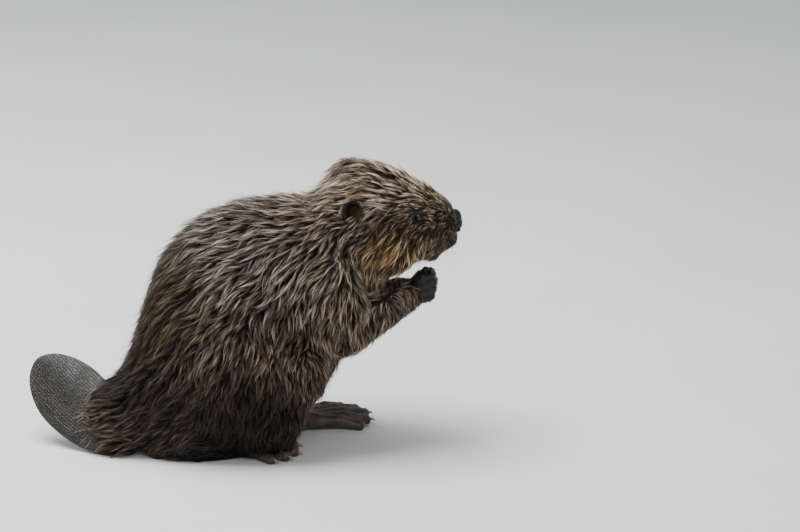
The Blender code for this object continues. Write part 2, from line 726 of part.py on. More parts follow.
def make_claws(side: int) -> tuple[list[bpy.types.Object], list[bpy.types.Object]]:
    """Return the fore claws and the hind claws of one side."""
    suffix = "left" if side > 0 else "right"
    fore = []
    for number, route in enumerate(digit_routes(side), start=1):
        along = (route[-1] - route[-2]).normalized()
        root = route[-1] + along * (FINGER_RADIUS * 0.25)
        fore.append(make_claw(f"fore_claw_{suffix}_{number}", root, along, FORE_CLAW_LENGTH, FORE_CLAW_RADIUS))
    hind = []
    for number, route in enumerate(toe_routes(side), start=1):
        along = (route[-1] - route[-2]) * Vector((1.0, 1.0, 0.0))
        root = route[-1] + along.normalized() * (TOE_RADIUS * 0.2) + Vector((0.0, 0.0, 0.0010))
        hind.append(make_claw(f"hind_claw_{suffix}_{number}", root, along, HIND_CLAW_LENGTH, HIND_CLAW_RADIUS))
    return fore, hind


def main() -> None:
    """Build every part of the beaver."""
    reset_scene()
    ankles = {}
    for side in (1, -1):
        heel, forward, _ = foot_frame(side)
        ankles[side] = heel + forward * (FOOT_LENGTH * 0.12) + Vector((0.0, 0.010 * side, 0.034))
    flesh = make_flesh(ankles)

    parts = []
    paddle = make_paddle()
    nose = make_nose()
    let_in(flesh, paddle)
    let_in(flesh, nose)
    parts += [(paddle, TAIL_SKIN), (nose, NOSE_SKIN)]
    for side in (1, -1):
        hand = make_hand(side)
        foot = make_foot(side)
        ear = make_ear(side)
        eye = make_eye(side)
        fore_claws, hind_claws = make_claws(side)
        for claw in fore_claws:
            let_in(hand, claw)
        for claw in hind_claws:
            let_in(foot, claw)
            let_in(flesh, claw, CLAW_CLEARANCE)
        for insert in (hand, foot, ear, eye):
            let_in(flesh, insert)
        parts += [(hand, PAW_SKIN), (foot, PAW_SKIN), (ear, EAR_SKIN), (eye, EYE_GLOSS)]
        parts += [(claw, CLAW_HORN) for claw in fore_claws + hind_claws]

    for side in (1, -1):
        suffix = "left" if side > 0 else "right"
        parts.append((part_off(flesh, f"arm_{suffix}", arm_bound(side)), FUR))
        parts.append((part_off(flesh, f"leg_{suffix}", leg_bound(side)), FUR))
    parts.append((part_off(flesh, "lower_jaw", jaw_bound()), CHEEK_FUR))
    for name, (point, outward), material in CROSS_CUTS:
        parts.append((part_off(flesh, name, half_space(point, outward)), material))
    flesh.name = "trunk"
    parts.append((flesh, FUR))

    parent = bpy.data.objects.new("beaver", None)
    bpy.context.scene.collection.objects.link(parent)
    shift = centring_shift([obj for obj, _ in parts])
    for obj, material in parts:
        finish(obj, material, parent, shift)


main()
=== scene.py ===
"""A life-size beaver sitting up on its haunches, its wet coat drawn into pointed locks.

One skin covers the whole animal. Over it lies a coat of closed, tapered locks that follow a comb of named
strokes. Eyes, claws and whiskers are pieces of their own. Local positions are in metres, with +X towards
the nose, +Y to the animal's left and the floor at Z = 0; each finished mesh is moved onto the frame by the
place of the left eye.
"""

import json
import logging
import math
from dataclasses import dataclass, field
from enum import Enum

import bmesh
import bpy
import numpy as np
from bpy.types import Material, Mesh, Node, NodeSocket, NodeTree, Object
from mathutils import Matrix, Vector, kdtree
from mathutils.bvhtree import BVHTree

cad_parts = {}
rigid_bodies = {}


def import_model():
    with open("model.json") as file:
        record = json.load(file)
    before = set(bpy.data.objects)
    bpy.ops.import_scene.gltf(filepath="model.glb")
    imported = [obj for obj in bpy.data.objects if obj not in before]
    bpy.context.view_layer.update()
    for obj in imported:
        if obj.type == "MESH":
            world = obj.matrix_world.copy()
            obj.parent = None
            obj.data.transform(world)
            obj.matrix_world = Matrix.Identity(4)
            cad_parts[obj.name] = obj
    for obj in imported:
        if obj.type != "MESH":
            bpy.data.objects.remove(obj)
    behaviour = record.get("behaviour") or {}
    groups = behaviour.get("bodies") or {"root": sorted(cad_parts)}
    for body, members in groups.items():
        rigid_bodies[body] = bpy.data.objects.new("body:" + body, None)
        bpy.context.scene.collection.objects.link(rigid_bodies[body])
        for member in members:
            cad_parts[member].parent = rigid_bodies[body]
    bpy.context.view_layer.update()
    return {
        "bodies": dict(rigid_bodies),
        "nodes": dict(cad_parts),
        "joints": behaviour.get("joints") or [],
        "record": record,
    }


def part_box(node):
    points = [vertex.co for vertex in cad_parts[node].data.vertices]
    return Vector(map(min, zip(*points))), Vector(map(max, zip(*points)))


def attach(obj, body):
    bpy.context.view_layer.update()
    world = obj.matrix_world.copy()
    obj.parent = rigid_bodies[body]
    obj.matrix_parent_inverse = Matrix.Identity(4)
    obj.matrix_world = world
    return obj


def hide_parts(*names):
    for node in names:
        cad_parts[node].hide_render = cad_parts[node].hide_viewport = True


log = logging.getLogger("beaver")

BODY = "root"
EYE_CENTRE = Vector((0.2385, 0.0395, 0.3150))
EAR_CENTRE = Vector((0.1525, 0.0585, 0.3305))
WRIST = Vector((0.235, 0.033, 0.210))
NOSE_CENTRE = Vector((0.2865, 0.0, 0.3005))
FLOOR_CLEARANCE = 0.0008

Array = np.ndarray
BMesh = bmesh.types.BMesh
Random = np.random.Generator
Pair = tuple[float, float]
Point = tuple[float, float, float]


class Side(Enum):
    """The two sides of the animal, each with the sign of its Y."""

    LEFT = 1
    RIGHT = -1

    @property
    def word(self) -> str:
        """Return the side's name as it stands in node names."""
        return self.name.lower()

    def point(self, point: Point | Vector) -> Vector:
        """Return a point given for the left side, on this side."""
        return Vector((point[0], point[1] * self.value, point[2]))


class Bare(Enum):
    """The kinds of hairless skin, each the name of the attribute that marks it."""

    TAIL = "bare_tail"
    PAW = "bare_paw"
    NOSE = "bare_nose"
    EAR = "bare_ear"
    LID = "bare_lid"


# ---------------------------------------------------------------- mesh helpers


def to_object(name: str, bm: BMesh) -> Object:
    """Turn a bmesh into a linked object and free it.

    Args:
        name: The object's name.
        bm: The mesh under construction.

    Returns:
        The new object.
    """
    mesh = bpy.data.meshes.new(name)
    bm.to_mesh(mesh)
    bm.free()
    return linked(name, mesh)


def linked(name: str, data: bpy.types.ID) -> Object:
    """Return a new object in the scene that shows a mesh, lamp or camera."""
    obj = bpy.data.objects.new(name, data)
    bpy.context.scene.collection.objects.link(obj)
    return obj


def pour(part: BMesh, bm: BMesh) -> None:
    """Add everything in one bmesh to another and free the first.

    Args:
        part: The bmesh to be emptied.
        bm: The bmesh that takes it up.
    """
    mesh = bpy.data.meshes.new("part")
    part.to_mesh(mesh)
    part.free()
    bm.from_mesh(mesh)
    bpy.data.meshes.remove(mesh)


def discard(*objects: Object) -> None:
    """Remove helper objects and their meshes."""
    for obj in objects:
        mesh = obj.data
        bpy.data.objects.remove(obj)
        bpy.data.meshes.remove(mesh)


def settle(obj: Object) -> None:
    """Replace an object's mesh by the result of its modifiers."""
    bpy.context.view_layer.update()
    graph = bpy.context.evaluated_depsgraph_get()
    made = bpy.data.meshes.new_from_object(obj.evaluated_get(graph))
    old = obj.data
    obj.modifiers.clear()
    obj.data = made
    bpy.data.meshes.remove(old)


def fuse(obj: Object, voxel: float, smoothing: int, factor: float = 0.5) -> None:
    """Make one closed surface of everything in a mesh and smooth it.

    Args:
        obj: The object, changed in place.
        voxel: Grid size of the new surface.
        smoothing: Number of smoothing passes.
        factor: Strength of one pass.
    """
    remesh = obj.modifiers.new("fuse", "REMESH")
    remesh.mode = "VOXEL"
    remesh.voxel_size = voxel
    remesh.adaptivity = 0.0
    smooth = obj.modifiers.new("smooth", "SMOOTH")
    smooth.iterations = smoothing
    smooth.factor = factor
    settle(obj)


def add_ellipsoid(
    bm: BMesh,
    centre: Vector,
    radii: Point,
    turn: Matrix | None = None,
    segments: int = 32,
) -> None:
    """Add a closed ellipsoid.

    Args:
        bm: The mesh under construction.
        centre: Its middle.
        radii: Its half-sizes along its own axes.
        turn: The turn of its own axes, if any.
        segments: Faces round its waist.
    """
    place = Matrix.Translation(centre) @ (turn or Matrix.Identity(4)) @ Matrix.Diagonal((*radii, 1.0))
    bmesh.ops.create_uvsphere(bm, u_segments=segments, v_segments=segments // 2, radius=1.0, matrix=place)


def add_hull(bm: BMesh, balls: list[tuple[Vector, float]], detail: int = 3) -> None:
    """Add the closed hull of some balls.

    Args:
        bm: The mesh under construction.
        balls: Centre and radius of each ball.
        detail: How finely the balls are divided.
    """
    hull = bmesh.new()
    for centre, radius in balls:
        place = Matrix.Translation(centre)
        bmesh.ops.create_icosphere(hull, subdivisions=detail, radius=radius, matrix=place)
    made = bmesh.ops.convex_hull(hull, input=list(hull.verts))
    spare = made["geom_interior"] + made["geom_unused"]
    inner = {item for item in spare if isinstance(item, bmesh.types.BMVert)}
    bmesh.ops.delete(hull, geom=list(inner), context="VERTS")
    pour(hull, bm)


def add_chain(bm: BMesh, points: list[Vector], radii: list[float]) -> None:
    """Add tapered segments with round ends from point to point."""
    for start, end, near, far in zip(points, points[1:], radii, radii[1:]):
        add_hull(bm, [(start, near), (end, far)])


def add_lofted(bm: BMesh, rings: list[list[Vector]]) -> None:
    """Add a closed tube with filled ends.

    Args:
        bm: The mesh under construction.
        rings: The tube's cross-sections, all of the same number of points.
    """
    loops = [[bm.verts.new(point) for point in ring] for ring in rings]
    edges = []
    for loop in loops:
        edges.append([bm.edges.new((loop[i], loop[(i + 1) % len(loop)])) for i in range(len(loop))])
    for near, far in zip(edges, edges[1:]):
        bmesh.ops.bridge_loops(bm, edges=near + far)
    bm.faces.new(loops[0])
    bm.faces.new(list(reversed(loops[-1])))
    bmesh.ops.recalc_face_normals(bm, faces=bm.faces)


def sideways(along: Vector) -> tuple[Vector, Vector]:
    """Return the level direction across a line and the direction above it."""
    across = along.cross(Vector((0.0, 0.0, 1.0))).normalized()
    return across, across.cross(along).normalized()


def oval(
    centre: Vector,
    axes: tuple[Vector, Vector],
    wide: float,
    high: Pair,
    sides: int,
) -> list[Vector]:
    """Return the corners of an oval ring.

    Args:
        centre: Its middle.
        axes: Its directions across and upward.
        wide: Its half-width.
        high: Its height over and under the middle.
        sides: How many corners it has.

    Returns:
        The corners in order.
    """
    ring = []
    for index in range(sides):
        angle = math.tau * index / sides
        lift = math.sin(angle) * (high[0] if math.sin(angle) > 0.0 else high[1])
        ring.append(centre + axes[0] * (wide * math.cos(angle)) + axes[1] * lift)
    return ring


def subtract(obj: Object, cutter: Object) -> None:
    """Cut one closed mesh out of another.

    Args:
        obj: The object that is cut.
        cutter: The object that is taken away from it and discarded.
    """
    cut = obj.modifiers.new("cut", "BOOLEAN")
    cut.operation = "DIFFERENCE"
    cut.solver = "EXACT"
    cut.object = cutter
    settle(obj)
    discard(cutter)


def read(items: object, name: str, width: int = 1, kind: type = np.float32) -> Array:
    """Return one property of many items.

    Args:
        items: A mesh's vertices, triangles or the like.
        name: The property.
        width: How many numbers it has.
        kind: What kind of numbers they are.

    Returns:
        The numbers, in rows if the property has more than one.
    """
    flat = np.empty(len(items) * width, kind)
    items.foreach_get(name, flat)
    return flat.reshape(-1, width) if width > 1 else flat


def points_of(mesh: Mesh) -> Array:
    """Return a mesh's vertex positions as an array of rows."""
    return read(mesh.vertices, "co", 3).astype(float)


def normals_of(mesh: Mesh) -> Array:
    """Return a mesh's vertex normals as an array of rows."""
    return read(mesh.vertices, "normal", 3).astype(float)


def move_to(mesh: Mesh, points: Array) -> None:
    """Give a mesh's vertices new positions."""
    mesh.vertices.foreach_set("co", points.astype(np.float32).ravel())
    mesh.update()


def set_attribute(mesh: Mesh, name: str, values: Array) -> None:
    """Store one number per vertex under a name."""
    attribute = mesh.attributes.get(name) or mesh.attributes.new(name, "FLOAT", "POINT")
    attribute.data.foreach_set("value", values.astype(np.float32))


def get_attribute(mesh: Mesh, name: str) -> Array:
    """Return the numbers stored per vertex under a name."""
    return read(mesh.attributes[name].data, "value").astype(float)


def unit(rows: Array) -> Array:
    """Return rows scaled to length one."""
    return rows / np.maximum(np.linalg.norm(rows, axis=-1, keepdims=True), 1e-9)


def ease(values: Array, low: float, high: float) -> Array:
    """Return a smooth step from 0 at low to 1 at high."""
    t = np.clip((values - low) / (high - low), 0.0, 1.0)
    return t * t * (3.0 - 2.0 * t)


def ridge(values: Array, middle: float, width: float) -> Array:
    """Return a rounded ridge, 1 at the middle and falling to 0 on both sides."""
    return np.exp(-(((values - middle) / width) ** 2))


def mirrored(points: Array) -> Array:
    """Return points folded onto the left side."""
    folded = points.copy()
    folded[:, 1] = np.abs(folded[:, 1])
    return folded


# ---------------------------------------------------------------- the lie of the coat


@dataclass(frozen=True)
class Stroke:
    """How the coat lies at one place of the left side: which way, how long and how deep."""

    point: Point
    heading: Point
    length: float
    depth: float


STROKES = (
    # muzzle and forehead
    ((0.284, 0.010, 0.311), (-0.80, 0.10, 0.60), 0.0080, 0.0016),
    ((0.282, 0.018, 0.290), (-0.80, 0.40, -0.30), 0.0075, 0.0016),
    ((0.283, 0.000, 0.274), (-0.30, 0.30, -0.90), 0.0055, 0.0010),
    ((0.275, 0.010, 0.329), (-0.85, 0.05, 0.50), 0.0140, 0.0026),
    ((0.268, 0.028, 0.305), (-0.75, 0.30, -0.50), 0.0130, 0.0026),
    ((0.266, 0.030, 0.285), (-0.55, 0.25, -0.80), 0.0140, 0.0030),
    ((0.255, 0.010, 0.344), (-0.92, 0.05, 0.35), 0.0220, 0.0042),
    ((0.225, 0.015, 0.364), (-0.97, 0.05, 0.22), 0.0290, 0.0060),
    # round the eye
    ((0.2470, 0.038, 0.3150), (-0.80, 0.20, 0.10), 0.0065, 0.0010),
    ((0.2385, 0.040, 0.3260), (-0.95, 0.10, 0.20), 0.0120, 0.0016),
    ((0.2385, 0.042, 0.3050), (-0.60, 0.10, -0.75), 0.0120, 0.0016),
    ((0.2280, 0.043, 0.3150), (-1.00, 0.10, -0.20), 0.0140, 0.0018),
    # crown, temple and round the ear
    ((0.190, 0.015, 0.379), (-1.00, 0.02, 0.02), 0.0340, 0.0080),
    ((0.150, 0.012, 0.385), (-0.97, 0.04, 0.05), 0.0360, 0.0105),
    ((0.205, 0.045, 0.335), (-1.00, 0.06, 0.02), 0.0280, 0.0048),
    ((0.180, 0.050, 0.340), (-1.00, 0.08, 0.02), 0.0280, 0.0050),
    ((0.172, 0.058, 0.325), (-0.85, 0.15, -0.50), 0.0140, 0.0030),
    ((0.152, 0.055, 0.350), (-1.00, 0.05, 0.02), 0.0200, 0.0045),
    ((0.138, 0.062, 0.328), (-0.95, 0.10, -0.25), 0.0250, 0.0056),
    ((0.155, 0.062, 0.308), (-0.75, 0.05, -0.65), 0.0250, 0.0056),
    # rim of the ear
    ((0.1550, 0.0640, 0.3455), (-0.90, 0.15, -0.20), 0.0095, 0.0006),
    ((0.1400, 0.0680, 0.3310), (-0.90, 0.10, -0.30), 0.0090, 0.0006),
    ((0.1560, 0.0660, 0.3160), (-0.80, 0.10, -0.50), 0.0090, 0.0006),
    ((0.1660, 0.0580, 0.3300), (-0.90, 0.25, 0.10), 0.0090, 0.0008),
    # cheek, jaw and throat
    ((0.245, 0.042, 0.290), (-0.40, 0.05, -0.92), 0.0180, 0.0036),
    ((0.225, 0.050, 0.285), (-0.42, 0.05, -0.92), 0.0230, 0.0052),
    ((0.200, 0.057, 0.295), (-0.65, 0.05, -0.75), 0.0260, 0.0056),
    ((0.185, 0.058, 0.270), (-0.50, 0.00, -0.86), 0.0270, 0.0064),
    ((0.235, 0.038, 0.262), (-0.15, -0.05, -1.00), 0.0300, 0.0075),
    ((0.262, 0.014, 0.250), (-0.70, -0.10, -0.60), 0.0140, 0.0034),
    ((0.262, 0.022, 0.266), (-0.60, 0.10, -0.75), 0.0115, 0.0024),
    ((0.222, 0.018, 0.238), (-0.30, 0.00, -0.95), 0.0300, 0.0085),
    # nape, neck and shoulder
    ((0.116, 0.020, 0.360), (-0.92, 0.05, -0.36), 0.0310, 0.0085),
    ((0.120, 0.060, 0.310), (-0.80, 0.05, -0.60), 0.0270, 0.0080),
    ((0.140, 0.066, 0.275), (-0.50, 0.02, -0.86), 0.0260, 0.0080),
    ((0.175, 0.040, 0.225), (-0.25, 0.00, -0.97), 0.0290, 0.0085),
    ((0.112, 0.090, 0.245), (-0.38, 0.02, -0.92), 0.0270, 0.0080),
    ((0.170, 0.000, 0.190), (-0.10, 0.00, -1.00), 0.0260, 0.0080),
    # arm
    ((0.150, 0.088, 0.195), (-0.02, 0.00, -1.00), 0.0240, 0.0070),
    ((0.142, 0.094, 0.165), (-0.12, 0.00, -0.99), 0.0230, 0.0070),
    ((0.175, 0.070, 0.165), (-0.10, -0.05, -0.98), 0.0200, 0.0065),
    ((0.180, 0.068, 0.198), (-0.25, -0.05, -0.95), 0.0220, 0.0055),
    ((0.205, 0.050, 0.180), (0.10, -0.10, -0.98), 0.0170, 0.0048),
    ((0.222, 0.045, 0.208), (0.45, -0.15, -0.85), 0.0110, 0.0022),
    ((0.224, 0.036, 0.192), (0.50, -0.20, -0.80), 0.0120, 0.0026),
    # back
    ((0.080, 0.025, 0.335), (-1.00, 0.06, -0.10), 0.0290, 0.0078),
    ((0.030, 0.030, 0.325), (-0.98, 0.08, -0.15), 0.0300, 0.0085),
    ((-0.030, 0.035, 0.308), (-0.92, 0.08, -0.38), 0.0290, 0.0095),
    ((-0.080, 0.035, 0.270), (-0.74, 0.06, -0.68), 0.0290, 0.0095),
    ((-0.112, 0.035, 0.215), (-0.45, 0.04, -0.90), 0.0280, 0.0090),
    ((-0.135, 0.030, 0.150), (-0.36, 0.02, -0.94), 0.0270, 0.0085),
    ((-0.155, 0.000, 0.095), (-0.62, 0.00, -0.78), 0.0270, 0.0080),
    # flank
    ((0.065, 0.080, 0.290), (-0.80, 0.06, -0.60), 0.0280, 0.0090),
    ((0.020, 0.092, 0.265), (-0.76, 0.04, -0.66), 0.0280, 0.0095),
    ((0.065, 0.100, 0.225), (-0.50, 0.02, -0.86), 0.0280, 0.0090),
    ((-0.010, 0.105, 0.210), (-0.66, 0.02, -0.75), 0.0280, 0.0095),
    ((-0.070, 0.085, 0.220), (-0.70, 0.02, -0.72), 0.0280, 0.0090),
    ((0.050, 0.105, 0.170), (-0.25, 0.00, -0.96), 0.0270, 0.0085),
    # haunch and shank
    ((-0.025, 0.125, 0.170), (-0.40, 0.02, -0.92), 0.0240, 0.0080),
    ((-0.045, 0.125, 0.110), (-0.40, 0.02, -0.92), 0.0210, 0.0070),
    ((0.020, 0.125, 0.120), (-0.20, 0.02, -0.98), 0.0200, 0.0070),
    ((0.080, 0.110, 0.115), (-0.15, 0.00, -1.00), 0.0180, 0.0060),
    ((0.070, 0.105, 0.050), (-0.20, 0.04, -1.00), 0.0170, 0.0055),
    ((0.000, 0.118, 0.055), (-0.18, 0.04, -0.98), 0.0190, 0.0060),
    ((0.050, 0.100, 0.020), (0.10, 0.05, -0.98), 0.0150, 0.0045),
    # rump and root of the tail
    ((-0.095, 0.095, 0.110), (-0.62, 0.02, -0.78), 0.0270, 0.0080),
    ((-0.100, 0.085, 0.045), (-0.80, 0.02, -0.55), 0.0270, 0.0070),
    ((-0.150, 0.040, 0.040), (-0.95, 0.00, -0.26), 0.0280, 0.0070),
    ((-0.175, 0.000, 0.070), (-0.93, 0.00, -0.30), 0.0270, 0.0060),
    ((-0.172, 0.042, 0.022), (-0.88, 0.00, -0.30), 0.0360, 0.0070),
    # chest, belly and the inside of the legs
    ((0.160, 0.000, 0.140), (-0.10, 0.00, -1.00), 0.0260, 0.0080),
    ((0.110, 0.000, 0.080), (-0.25, 0.00, -0.95), 0.0250, 0.0075),
    ((0.060, 0.020, 0.030), (-0.60, 0.00, -0.70), 0.0220, 0.0060),
    ((-0.050, 0.020, 0.004), (-1.00, 0.00, -0.05), 0.0120, 0.0010),
    ((-0.060, 0.070, 0.006), (-1.00, 0.02, -0.05), 0.0140, 0.0012),
    ((0.000, 0.070, 0.006), (-1.00, 0.02, -0.05), 0.0140, 0.0012),
    ((-0.130, 0.000, 0.004), (-1.00, 0.00, -0.05), 0.0140, 0.0012),
)
COMB = tuple(Stroke(*stroke) for stroke in STROKES)


class Comb:
    """Reads direction, length and depth of the coat anywhere from the strokes near it."""

    NEARNESS = 0.010  # strokes closer than this count alike
    FLOW_WAVES = (
        (61.0, 23.0, 47.0, 0.9),
        (-39.0, 57.0, 71.0, 2.2),
        (113.0, -84.0, 95.0, 4.0),
        (-170.0, 90.0, 140.0, 1.4),
    )
    FLOW_SWING = 0.14  # radians by which each wave turns the coat

    def __init__(self, strokes: tuple[Stroke, ...]) -> None:
        """Keep the strokes as arrays."""
        self.points = np.array([stroke.point for stroke in strokes])
        self.headings = unit(np.array([stroke.heading for stroke in strokes]))
        self.lengths = np.array([stroke.length for stroke in strokes])
        self.depths = np.array([stroke.depth for stroke in strokes])

    def weights(self, points: Array) -> Array:
        """Return how much each stroke counts at each point, rows adding up to one."""
        folded = mirrored(points)
        spread = ((folded[:, None, :] - self.points[None, :, :]) ** 2).sum(2)
        near = 1.0 / (spread + self.NEARNESS**2) ** 3
        return near / near.sum(1, keepdims=True)

    def lie(self, points: Array, normals: Array) -> tuple[Array, Array, Array]:
        """Return the coat's direction, length and depth.

        Args:
            points: Places on the skin.
            normals: The skin's outward directions there.

        Returns:
            Unit directions along the skin, lengths and depths.
        """
        weights = self.weights(points)
        flow = weights @ self.headings
        flow[:, 1] *= np.where(points[:, 1] < 0.0, -1.0, 1.0)
        flow = unit(flow - normals * (flow * normals).sum(1, keepdims=True))
        swings = [np.sin(points @ np.array(wave[:3]) + wave[3]) for wave in self.FLOW_WAVES]
        turn = sum(self.FLOW_SWING * swing for swing in swings)
        across = np.cross(normals, flow)
        flow = flow * np.cos(turn)[:, None] + across * np.sin(turn)[:, None]
        return flow, weights @ self.lengths, weights @ self.depths


# ---------------------------------------------------------------- bare parts


@dataclass(frozen=True)
class Hand:
    """A fore paw closed to a loose fist, with its back turned outward."""

    side: Side
    drop: float = 0.016  # the left hand is held this much lower
    palm: Point = (0.2430, 0.030, 0.2185)
    palm_size: Point = (0.0140, 0.0110, 0.0215)
    thumb_root: Point = (0.2405, 0.0290, 0.2350)
    knuckle: Pair = (0.2465, 0.0375)
    finger_radius: float = 0.0046
    finger_pitch: float = 0.0098
    joint_shares: tuple[float, ...] = (1.16, 1.10, 1.02, 0.80)
    bone_shares: tuple[float, ...] = (1.04, 0.90, 0.84, 0.66)
    bend_step: Point = (0.0178, -0.0035, 0.0012)
    curl_step: Point = (0.0032, -0.0145, -0.0018)
    tip_step: Point = (-0.0095, -0.0070, -0.0020)
    fan: Pair = (0.0009, 0.0006)  # how the fingers spread in height
    bow: Pair = (0.0016, 0.0010)  # how the outer knuckles stand back
    longest: float = 1.8
    shortening: float = 0.11
    thumb_steps: tuple[Point, Point] = ((0.0070, -0.0060, 0.0050), (0.0070, -0.0060, -0.0015))
    fur_starts: float = 0.2320
    fingers: int = 4
    wrist_step: Point = (-0.006, 0.002, -0.004)
    wrist_radii: Pair = (0.01089, 0.01221)
    claw_length: float = 0.0085
    claw_radius: float = 0.0022
    claw_lead: float = 0.25

    def place(self, point: Point | Vector) -> Vector:
        """Return a point of the right hand's height, on this hand."""
        lowered = self.drop if self.side is Side.LEFT else 0.0
        return self.side.point(point) - Vector((0.0, 0.0, lowered))

    def finger(self, index: int) -> list[Vector]:
        """Return the joints of one finger, curled towards the mid-plane.

        Args:
            index: The finger's number, counted upwards.

        Returns:
            Knuckle, first bend, second bend and tip.
        """
        away = index - (self.fingers - 1) / 2.0
        height = self.palm[2] + self.finger_pitch * away
        reach = 1.0 - self.shortening * abs(index - self.longest)
        (bend_x, bend_y, bend_z), (curl_x, curl_y, curl_z) = self.bend_step, self.curl_step
        tip_x, tip_y, tip_z = self.tip_step
        back = self.side.point((self.bow[0] * abs(away), self.bow[1] * abs(away), 0.0))
        knuckle = self.place((*self.knuckle, height)) - back
        bend = knuckle + self.side.point((bend_x * reach, bend_y, bend_z - self.fan[0] * away))
        curl = bend + self.side.point((curl_x * reach, curl_y * reach, curl_z - self.fan[1] * away))
        return [knuckle, bend, curl, curl + self.side.point((tip_x * reach, tip_y, tip_z))]

    def digits(self) -> list[list[Vector]]:
        """Return the joints of the thumb and of each finger."""
        root = self.place(self.thumb_root)
        middle = root + self.side.point(self.thumb_steps[0])
        thumb = [root, middle, middle + self.side.point(self.thumb_steps[1])]
        return [thumb] + [self.finger(index) for index in range(self.fingers)]

    def add(self, bm: BMesh) -> None:
        """Add the fist's volumes.

        Args:
            bm: The mesh under construction.
        """
        palm = self.place(self.palm)
        add_ellipsoid(bm, palm, self.palm_size)
        root = self.place(WRIST) + self.side.point(self.wrist_step)
        add_hull(bm, [(root, self.wrist_radii[0]), (palm, self.wrist_radii[1])])
        bones = [self.finger_radius * share for share in self.bone_shares]
        for route in self.digits():
            add_chain(bm, route, bones[-len(route):])
            for joint, share in zip(route, self.joint_shares[-len(route):]):
                add_ellipsoid(bm, joint, (self.finger_radius * share,) * 3, segments=16)

    def claws(self) -> list[tuple[Vector, Vector]]:
        """Return root and direction of each claw."""
        made = []
        for route in self.digits():
            along = (route[-1] - route[-2]).normalized()
            made.append((route[-1] + along * (self.finger_radius * self.claw_lead), along))
        return made


@dataclass(frozen=True)
class Foot:
    """A webbed hind foot, flat on the floor."""

    side: Side
    length: float = 0.150
    toe_radius: float = 0.0072
    heel_radius: float = 0.0165
    instep_radius: float = 0.0185
    instep_share: float = 0.30
    toe_root_share: float = 0.44
    sole_height: float = 0.0130
    web_height: float = 0.0065
    web_radius: float = 0.0030
    ankle_height: float = 0.062
    ankle_radius: float = 0.018
    spreads: tuple[float, ...] = (-24.0, -11.0, 1.0, 10.0, 18.0)
    reaches: tuple[float, ...] = (0.84, 0.94, 1.00, 0.98, 0.90)
    offsets: tuple[float, ...] = (-0.0190, -0.0095, 0.0007, 0.0105, 0.0200)
    bone_shares: tuple[float, ...] = (1.24, 1.04, 0.98)
    joint_shares: tuple[float, ...] = (1.10, 1.04)
    ball_share: float = 1.36
    midfoot_share: float = 0.8
    tip_share: float = 0.72
    joint_at: float = 0.55
    ankle_out: float = 0.018
    left_heel: Point = (0.040, 0.020, 0.0)
    right_heel: Point = (-0.058, -0.018, 0.0)
    left_splay: float = 27.0
    right_splay: float = -19.0
    claw_length: float = 0.0125
    claw_radius: float = 0.0034
    claw_lead: float = 0.2
    claw_rise: float = 0.0010

    def axes(self) -> tuple[Vector, Vector, Vector]:
        """Return the heel, the forward direction and the direction of the outer edge."""
        left = self.side is Side.LEFT
        heel = Vector(self.left_heel if left else self.right_heel)
        splay = math.radians(self.left_splay if left else self.right_splay)
        forward = Vector((math.cos(splay), math.sin(splay), 0.0))
        return heel, forward, Vector((-math.sin(splay), math.cos(splay), 0.0)) * self.side.value

    def toes(self) -> list[list[Vector]]:
        """Return the joints of the five toes, inner toe first."""
        heel, forward, outward = self.axes()
        routes = []
        for spread, share, offset in zip(self.spreads, self.reaches, self.offsets):
            angle = math.radians(spread)
            along = forward * math.cos(angle) + outward * math.sin(angle)
            root = heel + forward * (self.length * self.toe_root_share) + outward * offset
            root.z = self.sole_height
            reach = self.length * (share - self.toe_root_share) - self.toe_radius
            tip = root + along * reach
            tip.z = self.toe_radius * self.tip_share
            routes.append([root, root + along * (reach * self.joint_at), tip])
        return routes

    def add(self, bm: BMesh) -> None:
        """Add the foot's volumes.

        Args:
            bm: The mesh under construction.
        """
        start, forward, _ = self.axes()
        rise = Vector((0.0, 0.0, self.sole_height))
        instep = start + forward * (self.length * self.instep_share) + rise
        midfoot = (instep, self.instep_radius * self.midfoot_share)
        heel = (start + forward * self.heel_radius + rise, self.heel_radius)
        up = Vector((0.0, self.ankle_out * self.side.value, self.ankle_height))
        ankle = (start + forward * self.heel_radius + up, self.ankle_radius)
        add_hull(bm, [heel, (instep, self.instep_radius)])
        add_hull(bm, [heel, ankle])
        add_hull(bm, [midfoot, ankle])
        routes = self.toes()
        radii = [self.toe_radius * share for share in self.bone_shares]
        for route in routes:
            add_hull(bm, [midfoot, (route[0], self.toe_radius * self.ball_share)])
            add_chain(bm, route, radii)
            for joint, share in zip(route[1:], self.joint_shares):
                add_ellipsoid(bm, joint, (self.toe_radius * share,) * 3, segments=20)
        for inner, outer in zip(routes, routes[1:]):
            low = [Vector((point.x, point.y, min(point.z, self.web_height))) for point in inner + outer]
            add_hull(bm, [(point, self.web_radius) for point in low], 2)

    def claws(self) -> list[tuple[Vector, Vector]]:
        """Return root and direction of each claw."""
        made = []
        for route in self.toes():
            along = ((route[-1] - route[-2]) * Vector((1.0, 1.0, 0.0))).normalized()
            root = route[-1] + along * (self.toe_radius * self.claw_lead)
            made.append((root + Vector((0.0, 0.0, self.claw_rise)), along))
        return made


